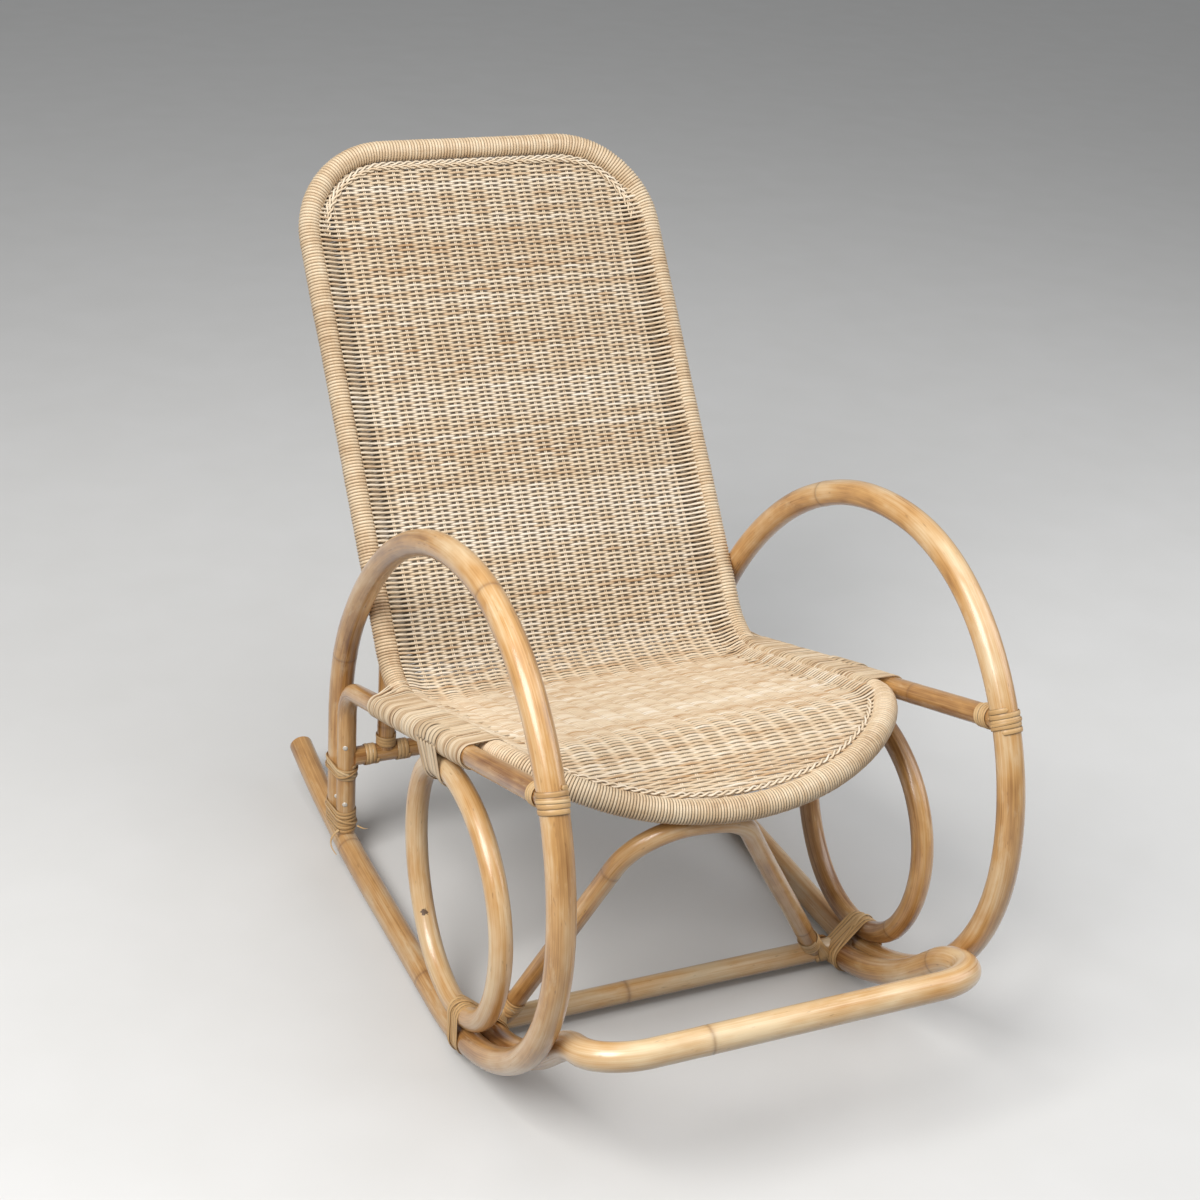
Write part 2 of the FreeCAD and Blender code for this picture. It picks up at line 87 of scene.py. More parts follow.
def linear(red: int, green: int, blue: int) -> tuple[float, float, float, float]:
    """A screen colour as a linear shader colour.

    Args:
        red: Red, 0 to 255.
        green: Green, 0 to 255.
        blue: Blue, 0 to 255.

    Returns:
        The colour, with full alpha.
    """
    def one(value: int) -> float:
        """One channel."""
        part = value / 255
        return part / 12.92 if part <= 0.04045 else ((part + 0.055) / 1.055) ** 2.4
    return one(red), one(green), one(blue), 1.0


def eased(part: Array) -> Array:
    """Shares from 0 to 1 with a soft start and a soft end."""
    return part * part * (3 - 2 * part)


def wander(rng: np.random.Generator, places: Array, reach: float) -> Array:
    """Smooth random values between about -1 and 1.

    Args:
        rng: Seeded generator.
        places: Where the values are wanted, in metres.
        reach: Distance over which they change.

    Returns:
        One value for each place.
    """
    low, high = float(np.min(places)), float(np.max(places))
    knots = np.arange(low - reach, high + 2 * reach, reach)
    values = rng.uniform(-1, 1, len(knots))
    at = (np.asarray(places) - knots[0]) / reach
    index = np.clip(at.astype(int), 0, len(knots) - 2)
    part = eased(at - index)
    return values[index] * (1 - part) + values[index + 1] * part


# Centre lines of straight runs and tangent arcs

def arc_points(start: Array, way: Array, end: Array, step: float = 0.002) -> Array:
    """Points of the arc that leaves start along way and reaches end.

    Args:
        start: First point.
        way: Unit direction at the first point.
        end: Last point.
        step: Largest distance between points.

    Returns:
        The points, without the last one.
    """
    chord = end - start
    length = np.linalg.norm(chord)
    aside = chord - way * chord.dot(way)
    if np.linalg.norm(aside) < 1e-7:
        parts = np.linspace(0, 1, max(2, int(length / step)), endpoint=False)
        return start + parts[:, None] * chord
    half = math.acos(max(-1.0, min(1.0, chord.dot(way) / length)))
    radius = length / (2 * math.sin(half))
    turns = np.linspace(0, 2 * half, max(3, int(2 * half * radius / step)), endpoint=False)[:, None]
    return start + way * radius * np.sin(turns) + unit(aside) * radius * (1 - np.cos(turns))


def centre_line(stations: Sequence[Station]) -> Array:
    """Points, close together, of a smooth line through stations.

    Args:
        stations: Point and direction of each station.

    Returns:
        Points of pairs of tangent arcs between the stations.
    """
    pieces = []
    for (p1, t1), (p2, t2) in zip(stations, stations[1:]):
        p1, p2, t1, t2 = np.array(p1, float), np.array(p2, float), unit(t1), unit(t2)
        v, t = p2 - p1, t1 + t2
        spread = 2 * (1 - t1.dot(t2))
        if spread < 1e-9:
            if unit(v).dot(t1) > 1 - 1e-9:
                pieces.append(arc_points(p1, t1, p2))
                continue
            reach = v.dot(v) / (4 * v.dot(t2))
        else:
            reach = (math.sqrt(v.dot(t) ** 2 + spread * v.dot(v)) - v.dot(t)) / spread
        joint = (p1 + p2 + (t1 - t2) * reach) / 2
        pieces.append(arc_points(p1, t1, joint))
        pieces.append(np.vstack([joint, arc_points(p2, -t2, joint)[:0:-1]]))
    return np.vstack(pieces + [np.array(stations[-1][0], float)[None]])


def runs_of(points: Array) -> Array:
    """Length along a line of points, at each of them."""
    return np.concatenate([[0], np.cumsum(np.linalg.norm(np.diff(points, axis=0), axis=1))])


def columns_at(places: Array, runs: Array, values: Array) -> Array:
    """Reads a table between its rows.

    Args:
        places: Lengths at which values are wanted.
        runs: Length at each row of the table.
        values: The table, with a row for each length.

    Returns:
        A row for each place.
    """
    return np.stack([np.interp(places, runs, column) for column in values.T], axis=-1)


def sampled(points: Array, runs: Array) -> Array:
    """Points of a line at the given lengths along it."""
    return columns_at(runs, runs_of(points), points)


def tangents(points: Array) -> Array:
    """Directions of a line at its points.

    Args:
        points: Points of the line.

    Returns:
        One unit vector for each point.
    """
    ways = np.gradient(points, axis=0)
    size = np.linalg.norm(ways, axis=1, keepdims=True)
    return ways / np.maximum(size, 1e-12)


def carried_sides(points: Array, first: Sequence[float]) -> Array:
    """Side directions that don't twist about a line.

    Args:
        points: Points of the line.
        first: Direction to start from, made square to the line.

    Returns:
        One unit vector for each point.
    """
    ways = tangents(points)
    side = np.asarray(first, float)
    sides = np.empty_like(points)
    for k, way in enumerate(ways):
        side = side - way * side.dot(way)
        side = side / np.linalg.norm(side)
        sides[k] = side
    return sides


def mirrored(points: Array) -> Array:
    """Points moved to the other side of the chair."""
    return points * np.array([-1.0, 1.0, 1.0])


# Sizes, as in the part's source

@dataclass(frozen=True)
class ChairSizes:
    """Sizes that the pieces share, in metres and degrees."""

    half_gauge: float = 0.300
    depth: float = 1.230
    side_r: float = 0.0175
    rail_r: float = 0.014
    hoop_r: float = 0.015
    rim_r: float = 0.014
    foot_r: float = 0.018
    stretcher_r: float = 0.015
    arch_r: float = 0.013
    crossbar_r: float = 0.014
    brace_r: float = 0.013
    gap: float = 0.0003
    seat_rise: float = 18.6
    seat_line_z: float = 0.352
    recline: float = 38.1
    back_top_z: float = 0.953
    corner_r: float = 0.133
    seat_bend_r: float = 0.100
    lip_start_y: float = -0.257
    lip_r: float = 0.168
    lip_length: float = 0.175
    rear_post_y: float = 0.255
    stretcher_y: float = -0.260
    stretcher_z: float = 0.028
    crossbar_z: float = 0.163

    @property
    def rim_x(self) -> float:
        """Middle of the chair to the middle of the rim's side."""
        return self.half_gauge - self.side_r - self.rim_r - self.gap

    @property
    def leg_y(self) -> float:
        """Place of the rear legs."""
        return self.rear_post_y - self.side_r - self.rail_r - self.gap

    @property
    def back_top_y(self) -> float:
        """Place of the rim at the top of the back."""
        return self.depth / 2 - self.rim_r

    def seat_z(self, y: float) -> float:
        """Height of the seat line."""
        return self.seat_line_z - math.tan(math.radians(self.seat_rise)) * y

    @property
    def seat_front(self) -> Array:
        """Direction along the seat to its front."""
        return np.array([0, -cos_deg(self.seat_rise), sin_deg(self.seat_rise)])

    @property
    def seat_up(self) -> Array:
        """Direction square to the seat."""
        return np.array([0, sin_deg(self.seat_rise), cos_deg(self.seat_rise)])

    @property
    def back_up(self) -> Array:
        """Direction up the back."""
        return np.array([0, sin_deg(self.recline), cos_deg(self.recline)])

    def folds(self) -> tuple[Array, Array]:
        """Ends of the bend between the seat and the back.

        Returns:
            The point where it begins on the seat, and the point where it ends on the back.
        """
        lean = self.back_up[1] / self.back_up[2]
        rise = math.tan(math.radians(self.seat_rise))
        y = (self.back_top_y - lean * (self.back_top_z - self.seat_line_z)) / (1 + lean * rise)
        corner = np.array([0, y, self.seat_z(y)])
        turn = math.acos(float(-self.seat_front.dot(self.back_up)))
        run = self.seat_bend_r * math.tan(turn / 2)
        return corner + self.seat_front * run, corner + self.back_up * run

    def on_lip(self, run: float) -> tuple[Array, Array]:
        """A place on the lip, in the middle of the chair.

        Args:
            run: Length along the lip from its start.

        Returns:
            The point and the direction there.
        """
        start = np.array([0, self.lip_start_y, self.seat_z(self.lip_start_y)])
        centre = start - self.seat_up * self.lip_r
        angle = math.degrees(run / self.lip_r) - self.seat_rise
        point = centre + self.lip_r * np.array([0, -sin_deg(angle), cos_deg(angle)])
        return point, np.array([0, -cos_deg(angle), -sin_deg(angle)])


SIZES = ChairSizes()


# Shader graphs

class Shade:
    """A shader socket that takes part in Python arithmetic."""

    def __init__(self, graph: "Graph", socket: Any) -> None:
        """Keeps the socket and the graph that it is in."""
        self.graph = graph
        self.socket = socket

    def _math(self, operation: str, first: Any, second: Any) -> "Shade":
        """A Math node on two values."""
        return self.graph.node("ShaderNodeMath", {"operation": operation}, {0: first, 1: second})

    def __add__(self, other: Any) -> "Shade":
        """Sum."""
        return self._math("ADD", self, other)

    __radd__ = __add__

    def __sub__(self, other: Any) -> "Shade":
        """Difference."""
        return self._math("SUBTRACT", self, other)

    def __rsub__(self, other: Any) -> "Shade":
        """Difference, the other way round."""
        return self._math("SUBTRACT", other, self)

    def __mul__(self, other: Any) -> "Shade":
        """Product."""
        return self._math("MULTIPLY", self, other)

    __rmul__ = __mul__

    def clipped(self) -> "Shade":
        """The value held between 0 and 1."""
        return self.graph.node("ShaderNodeClamp", {}, {0: self})


class Graph:
    """Nodes of one material."""

    def __init__(self, name: str) -> None:
        """Starts an empty material.

        Args:
            name: The material's name.
        """
        self.material = bpy.data.materials.new(name)
        self.material.use_nodes = True
        self.tree = self.material.node_tree
        self.tree.nodes.clear()

    def node(self, kind: str, settings: dict[str, Any], inputs: dict[Any, Any],
             output: Union[int, str] = 0) -> Shade:
        """Adds a node.

        Args:
            kind: The node's type.
            settings: Values set on the node before its sockets; stops are those of a ramp.
            inputs: Values or shades by socket name or number.
            output: The output that is wanted.

        Returns:
            That output.
        """
        made = self.tree.nodes.new(kind)
        for key, value in settings.items():
            if key == "stops":
                ramp = made.color_ramp.elements
                while len(ramp) < len(value):
                    ramp.new(0.5)
                for stop, (place, colour) in zip(ramp, value):
                    stop.position = place
                    stop.color = colour
            else:
                setattr(made, key, value)
        for key, value in inputs.items():
            if isinstance(value, Shade):
                self.tree.links.new(value.socket, made.inputs[key])
            else:
                made.inputs[key].default_value = value
        return Shade(self, made.outputs[output])

    def attribute(self, name: str, output: str) -> Shade:
        """A value that the mesh carries."""
        return self.node("ShaderNodeAttribute", {"attribute_name": name}, {}, output)

    def stretched(self, vector: Shade, by: Sequence[float]) -> Shade:
        """A vector times a fixed one."""
        return self.node("ShaderNodeVectorMath", {"operation": "MULTIPLY"}, {0: vector, 1: tuple(by)})

    def noise(self, vector: Shade, detail: float = 2.0, roughness: float = 0.5) -> Shade:
        """Noise of size one on a vector."""
        return self.node("ShaderNodeTexNoise", {},
                         {"Vector": vector, "Scale": 1.0, "Detail": detail, "Roughness": roughness})

    def ramp(self, value: Shade, stops: Sequence[tuple[float, Sequence[float]]]) -> Shade:
        """A colour ramp."""
        return self.node("ShaderNodeValToRGB", {"stops": stops}, {0: value})

    def mix(self, part: Any, first: Any, second: Any) -> Shade:
        """Two colours mixed."""
        return self.node("ShaderNodeMix", {"data_type": "RGBA"}, {0: part, 6: first, 7: second}, 2)

    def bump(self, height: Shade, strength: float, distance: float) -> Shade:
        """A normal from a height."""
        return self.node("ShaderNodeBump", {}, {"Strength": strength, "Distance": distance, "Height": height})

    def finish(self, **sockets: Any) -> bpy.types.Material:
        """Closes the material with one surface shader.

        Args:
            sockets: Values or shades by socket name, with spaces as underscores.

        Returns:
            The material.
        """
        inputs = {key.replace("_", " "): value for key, value in sockets.items()}
        surface = self.node("ShaderNodeBsdfPrincipled", {}, inputs)
        self.node_output(surface)
        return self.material

    def node_output(self, surface: Shade) -> None:
        """Joins a surface to the material's output."""
        made = self.tree.nodes.new("ShaderNodeOutputMaterial")
        self.tree.links.new(surface.socket, made.inputs["Surface"])


@dataclass(frozen=True)
class PoleFinish:
    """Varnished rattan pole with long fibres, faint node rings, worn pale places, and soiling and painted
    shade near the floor.
    """

    name: str = "varnished_rattan"
    dark: Colour = (134, 86, 40)
    honey: Colour = (204, 155, 94)
    pale: Colour = (234, 208, 166)
    rubbed: Colour = (233, 212, 176)
    ring: Colour = (112, 72, 38)
    floor_shade_and_grime: Colour = (118, 88, 60)
    stain: Colour = (56, 28, 20)
    stain_at: Triple = (-0.3044, -0.1319, 0.1274)
    shade_and_grime_top: float = 0.13
    roughness: float = 0.31
    fibre_scale: Triple = (620, 620, 8)
    streak_scale: Triple = (230, 230, 3.5)
    patch_scale: Triple = (26, 26, 8)
    worn_scale: Triple = (75, 75, 16)
    speck_scale: Triple = (300, 300, 70)
    blot_scale: Triple = (260, 260, 260)

    def build(self) -> bpy.types.Material:
        """Makes the material: the cane's own tones, then wear, specks, node rings, soiling and painted shade
        near the floor, and a dark stain.

        Returns:
            The material.
        """
        graph = Graph(self.name)
        straight = graph.attribute("straight", "Vector")
        knot = graph.attribute("knot", "Fac")
        tone = graph.attribute("tone", "Fac")
        fibre = graph.noise(graph.stretched(straight, self.fibre_scale), 3.0, 0.6)
        streak = graph.noise(graph.stretched(straight, self.streak_scale), 4.0, 0.62)
        patch = graph.noise(graph.stretched(straight, self.patch_scale), 3.0, 0.6)
        worn = graph.noise(graph.stretched(straight, self.worn_scale), 4.0, 0.68)
        shade = (streak - 0.5) * 0.45 + (patch - 0.5) * 1.1 + (fibre - 0.5) * 0.4 + tone
        colour = graph.ramp(shade, [(0.15, linear(*self.dark)), (0.48, linear(*self.honey)),
                                    (0.85, linear(*self.pale))])
        rub = ((worn - 0.56) * 6.0).clipped() * 0.42
        colour = graph.mix(rub, colour, linear(*self.rubbed))
        speck = graph.noise(graph.stretched(straight, self.speck_scale), 1.0)
        colour = graph.mix(((speck - 0.70) * 9.0).clipped() * 0.45, colour, linear(*self.ring))
        colour = graph.mix((knot * 0.62).clipped(), colour, linear(*self.ring))
        place = graph.node("ShaderNodeTexCoord", {}, {}, "Object")
        height = graph.node("ShaderNodeSeparateXYZ", {}, {0: place}, 2)
        # Towards the floor the pole turns grey brown in patches: soiling, and painted shade near the floor.
        shade_and_grime = ((self.shade_and_grime_top - height) * 6.0).clipped() * ((patch - 0.32) * 2.2).clipped()
        colour = graph.mix(shade_and_grime * 0.55, colour, linear(*self.floor_shade_and_grime))
        away = graph.node("ShaderNodeVectorMath", {"operation": "DISTANCE"},
                          {0: place, 1: self.stain_at}, "Value")
        blot = graph.noise(graph.stretched(place, self.blot_scale), 2.0)
        stained = ((blot * 0.016 - 0.0016 - away) * 600.0).clipped() * 0.85
        colour = graph.mix(stained, colour, linear(*self.stain))
        rough = self.roughness + (fibre - 0.5) * 0.2 + rub * 0.3 + shade_and_grime * 0.2
        normal = graph.bump(fibre * 0.5 + streak * 0.5 - knot * 0.6, 0.3, 0.0012)
        return graph.finish(Base_Color=colour, Roughness=rough, Normal=normal, Coat_Weight=0.8,
                            Coat_Roughness=0.22)


@dataclass(frozen=True)
class CaneFinish:
    """Split cane: straw coloured strands, each with its own tone and fine fibres along it."""

    name: str
    dark: Colour
    middle: Colour
    pale: Colour
    roughness: float
    two_faced: bool = False
    edged: float = 0.0
    edge_at: float = 0.72
    shade_depth: float = 0.36
    fibre_scale: Triple = (1500, 1500, 22)
    patch_scale: Triple = (60, 60, 24)

    def build(self) -> bpy.types.Material:
        """Makes the material; a strand that dives has painted shade on the face that it turns to the weave.

        Returns:
            The material, with painted shade and some soiling along the edges of strips if they are edged.
        """
        graph = Graph(self.name)
        straight = graph.attribute("straight", "Vector")
        tone = graph.attribute("tone", "Fac")
        fibre = graph.noise(graph.stretched(straight, self.fibre_scale), 2.0)
        patch = graph.noise(graph.stretched(straight, self.patch_scale), 3.0, 0.6)
        shade = tone + (patch - 0.5) * 0.5 + (fibre - 0.5) * 0.5
        colour = graph.ramp(shade, [(0.10, linear(*self.dark)), (0.48, linear(*self.middle)),
                                    (0.88, linear(*self.pale))])
        # On cane the dark mark is painted shade in the crevices: where a strand dives under a stake, in the
        # slots at the rim and in the grooves of the wraps.
        deep = graph.attribute("knot", "Fac")
        if self.two_faced:
            deep = deep * graph.node("ShaderNodeSeparateXYZ", {}, {0: straight}, 1) * 900.0
        # Edged strips darken along their edges too: painted shade between the strands, with some soiling.
        if self.edged:
            offset = graph.attribute("aside", "Fac")
            aside = graph.node("ShaderNodeMath", {"operation": "ABSOLUTE"}, {0: offset})
            deep = deep + ((aside - self.edge_at) * (2.8 * self.edged)).clipped()
        # The deep brown that the painted shade mixes towards.
        shade_and_grime = linear(*(int(part * self.shade_depth) for part in self.dark))
        colour = graph.mix(deep.clipped() * 0.92, colour, shade_and_grime)
        rough = self.roughness + fibre * 0.18
        normal = graph.bump(fibre, 0.3, 0.0006)
        return graph.finish(Base_Color=colour, Roughness=rough, Normal=normal, Coat_Weight=0.08,
                            Coat_Roughness=0.3)


@dataclass(frozen=True)
class NailFinish:
    """Dull steel with spots of old varnish."""

    name: str = "nail_steel"
    bright: Colour = (224, 220, 210)
    varnished: Colour = (190, 172, 142)
    spot_scale: Triple = (900, 900, 900)

    def build(self) -> bpy.types.Material:
        """Makes the material.

        Returns:
            The material.
        """
        graph = Graph(self.name)
        place = graph.node("ShaderNodeTexCoord", {}, {}, "Object")
        spots = graph.noise(graph.stretched(place, self.spot_scale), 2.0)
        colour = graph.mix(((spots - 0.45) * 4.0).clipped(), linear(*self.bright), linear(*self.varnished))
        return graph.finish(Base_Color=colour, Roughness=0.35 + spots * 0.2, Metallic=0.25)


class Finish(Enum):
    """The chair's finishes."""

    POLE = PoleFinish()
    # The weave, the wings and the lashings are edged: painted shade, with some soiling, along the edges of
    # their strands; the weave is two faced, with painted shade on the face that a diving strand turns to the
    # weave.
    WEAVE = CaneFinish("woven_cane", (187, 145, 98), (224, 203, 172), (243, 233, 217), 0.42, True, 1.1)
    WRAP = CaneFinish("rim_cane", (152, 111, 68), (216, 189, 153), (240, 223, 194), 0.36)
    WING = CaneFinish("wing_cane", (158, 119, 78), (213, 188, 153), (233, 215, 187), 0.40, edged=1.0)
    NAIL = NailFinish()
    LASHING = CaneFinish("lashing_cane", (150, 104, 56), (207, 167, 113), (231, 204, 160), 0.36, edged=1.0)


# Rolled tubes

@dataclass
class Run:
    """One strand or pole: its centre line, the way its flat side faces, and its half sizes."""

    centre: Array
    facing: Array
    half_wide: Array
    half_thick: Array
    tone: Reading = 0.5
    knot: Reading = 0.0
    start: float = 0.0


class Rolled:
    """A piece of one or more runs, each a flat grid that is rolled up along its centre line."""

    def __init__(self, name: str, around: int) -> None:
        """Starts a piece.

        Args:
            name: The piece's name.
            around: Faces round each run.
        """
        self.name = name
        self.around = around
        self.runs: list[Run] = []

    def add(self, run: Run) -> None:
        """Adds a run; all runs of a piece have as many points."""
        self.runs.append(run)

    def _grids(self, along: int) -> bpy.types.Object:
        """Lays a flat grid for each run, side by side in one mesh.

        Args:
            along: Faces along each run.

        Returns:
            The object with the grids.
        """
        bpy.ops.object.select_all(action="DESELECT")
        bpy.ops.mesh.primitive_grid_add(x_subdivisions=self.around, y_subdivisions=along, size=1.0)
        made = bpy.context.object
        made.name = self.name
        made.data.name = self.name
        if len(self.runs) > 1:
            rows = made.modifiers.new("rows", "ARRAY")
            rows.count = len(self.runs)
            rows.use_relative_offset = False
            rows.use_constant_offset = True
            rows.constant_offset_displace = (2.0, 0.0, 0.0)
            bpy.ops.object.modifier_apply(modifier=rows.name)
        return made

    def build(self, smooth_angle: float = 60.0) -> bpy.types.Object:
        """Rolls the grids up into closed tubes.

        Args:
            smooth_angle: Edges sharper than this stay sharp, in degrees.

        Returns:
            The piece's object.
        """
        along = len(self.runs[0].centre) - 1
        made = self._grids(along)
        mesh = made.data
        flat = np.empty(len(mesh.vertices) * 3, np.float32)
        mesh.vertices.foreach_get("co", flat)
        size = (self.around + 1) * (along + 1)
        flat = flat.reshape(-1, 3)[:size].astype(float)
        turn = 2 * np.pi * np.round((flat[:, 0] + 0.5) * self.around) / self.around
        at = np.round((flat[:, 1] + 0.5) * along).astype(int)
        places, straights, tones, knots, asides = [], [], [], [], []
        for run in self.runs:
            ways = tangents(run.centre)
            across = np.cross(ways, run.facing)
            across /= np.maximum(np.linalg.norm(across, axis=1, keepdims=True), 1e-9)
            wide = np.broadcast_to(run.half_wide, len(run.centre))[at] * np.cos(turn)
            thick = np.broadcast_to(run.half_thick, len(run.centre))[at] * np.sin(turn)
            places.append(run.centre[at] + across[at] * wide[:, None] + run.facing[at] * thick[:, None])
            length = runs_of(run.centre)[at] + run.start
            straights.append(np.stack([wide, thick, length], axis=1))
            tones.append(np.broadcast_to(run.tone, len(run.centre))[at])
            knots.append(np.broadcast_to(run.knot, len(run.centre))[at])
            asides.append(np.cos(turn))
        mesh.vertices.foreach_set("co", np.concatenate(places).astype(np.float32).ravel())
        for name, kind, key, values in (("straight", "FLOAT_VECTOR", "vector", straights),
                                        ("tone", "FLOAT", "value", tones),
                                        ("knot", "FLOAT", "value", knots),
                                        ("aside", "FLOAT", "value", asides)):
            carried = mesh.attributes.new(name, kind, "POINT")
            carried.data.foreach_set(key, np.concatenate(values).astype(np.float32).ravel())
        mesh.update()
        bpy.ops.object.mode_set(mode="EDIT")
        bpy.ops.mesh.select_all(action="SELECT")
        bpy.ops.mesh.remove_doubles(threshold=2e-6)
        bpy.ops.mesh.normals_make_consistent(inside=False)
        bpy.ops.object.mode_set(mode="OBJECT")
        bpy.ops.object.shade_smooth_by_angle(angle=math.radians(smooth_angle))
        return made


def capped(half: Array) -> Array:
    """Half sizes of a run that closes at both ends.

    Args:
        half: Half sizes along the run.

    Returns:
        A copy that is zero at both ends.
    """
    half = np.array(half, float)
    half[0] = half[-1] = 0.0
    return half


def closed_run(rng: np.random.Generator, centre: Array, facing: Array, half_wide: Reading, half_thick: Reading,
               tone: Reading, knot: Reading = 0.0) -> Run:
    """A run that closes at both ends and has its own part of the fibre pattern.

    Args:
        rng: Seeded generator.
        centre: Points of its centre line.
        facing: The way its flat side faces, at each point.
        half_wide: Half its width.
        half_thick: Half its thickness.
        tone: How pale it is.
        knot: Node ring colour on a pole, and painted shade in the crevices of cane.

    Returns:
        The run.
    """
    wide, thick = (capped(np.broadcast_to(half, len(centre))) for half in (half_wide, half_thick))
    return Run(centre, facing, wide, thick, tone, knot, rng.uniform(0, FIBRE_REACH))


class Dresser:
    """Gives pieces their finish and place in the frame."""

    def __init__(self) -> None:
        """Makes the finishes."""
        self.materials = {finish: finish.value.build() for finish in Finish}

    def dress(self, piece: bpy.types.Object, finish: Finish, slot: str, *nodes: str) -> None:
        """Dresses a piece and lets it stand for CAD nodes.

        Args:
            piece: The piece.
            finish: Its finish.
            slot: The record's material slot; not used.
            nodes: CAD nodes that it replaces.
        """
        piece.data.materials.clear()
        piece.data.materials.append(self.materials[finish])
        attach(piece, "root")
        if nodes:
            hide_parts(*nodes)
        LOG.info("%s: %d faces, for %s", piece.name, len(piece.data.polygons), ", ".join(nodes) or "itself")


# Poles

@dataclass
class Pole:
    """A bent rattan pole with node rings."""

    name: str
    stations: Sequence[Station]
    radius: float
    node: str
    seed: int
    tone: float = 0.5
    painted_end_shade: float = 0.0
    knots: Sequence[tuple[float, float]] = ()
    spacing: float = 0.52
    step: float = 0.005
    around: int = 22
    ring_stops_mm: tuple[float, ...] = (-7, -4.5, -2.5, -1.2, 0, 1.2, 2.5, 4.5, 7)
    end_room: float = 0.002
    closest: float = 0.0006

    def knot_runs(self, line: Array, rng: np.random.Generator) -> Array:
        """Finds the node rings: at given places in y and z, or at random.

        Args:
            line: Points of the pole's centre line.
            rng: Seeded generator.

        Returns:
            Lengths along the pole.
        """
        runs = runs_of(line)
        if self.knots:
            nearest = [np.argmin(np.hypot(line[:, 1] - y, line[:, 2] - z)) for y, z in self.knots]
            return np.array([runs[k] for k in nearest])
        first = rng.uniform(0.3, 0.8) * self.spacing
        places = np.arange(first, runs[-1], self.spacing)
        return places + rng.uniform(-0.06, 0.06, len(places))

    def stops(self, rings: Array, length: float) -> Array:
        """Lengths along the pole at which it has points.

        Args:
            rings: Where the node rings are.
            length: The pole's length.

        Returns:
            The lengths, closer at the node rings; both ends come twice, so that the tube can close.
        """
        fine = (rings[:, None] + np.array(self.ring_stops_mm) / 1000).ravel()
        fine = fine[(fine > self.end_room) & (fine < length - self.end_room)]
        runs = np.concatenate([np.arange(0, length, self.step), fine, [length]])
        runs = np.unique(np.round(runs, 6))
        runs = runs[np.concatenate([[True], np.diff(runs) > self.closest])]
        return np.concatenate([runs[:1], runs, runs[-1:]])

    def build(self, dresser: Dresser) -> bpy.types.Object:
        """Bends the pole and dresses it.

        Args:
            dresser: Gives the finish.

        Returns:
            The pole.
        """
        rng = np.random.default_rng(self.seed)
        line = centre_line(self.stations)
        length = runs_of(line)[-1]
        rings = self.knot_runs(line, rng)
        runs = self.stops(rings, length)
        centre = sampled(line, runs)
        near = np.min(np.abs(runs[:, None] - rings), axis=1) if len(rings) else np.full(len(runs), 1.0)
        bulge = 0.022 * np.exp(-(near / 0.006) ** 2) - 0.022 * np.exp(-(near / 0.0014) ** 2)
        radius = self.radius * (1 + bulge + 0.010 * wander(rng, runs, 0.09))
        knot = 0.5 * np.exp(-(near / 0.0022) ** 2) + 0.25 * np.exp(-(near / 0.006) ** 2)
        cycle = np.sum((runs[:, None] > rings), axis=1)
        tones = self.tone + rng.uniform(-0.08, 0.08, len(rings) + 1)[cycle]
        # Painted shade: the tone can fall towards both ends of the pole, as on the foot bar's bent arms.
        tones = tones - self.painted_end_shade * np.clip(np.abs(2 * runs / length - 1) * 2.2 - 1.1, 0, 1)
        crosswise = abs(unit(self.stations[0][1])[0]) >= 0.9
        facing = carried_sides(centre, UP if crosswise else RIGHT)
        facing[0], facing[-1] = facing[1], facing[-2]
        piece = Rolled(self.name, self.around)
        piece.add(closed_run(rng, centre, facing, radius, radius, tones, knot))
        made = piece.build(50.0)
        dresser.dress(made, Finish.POLE, "rattan_pole", self.node)
        return made


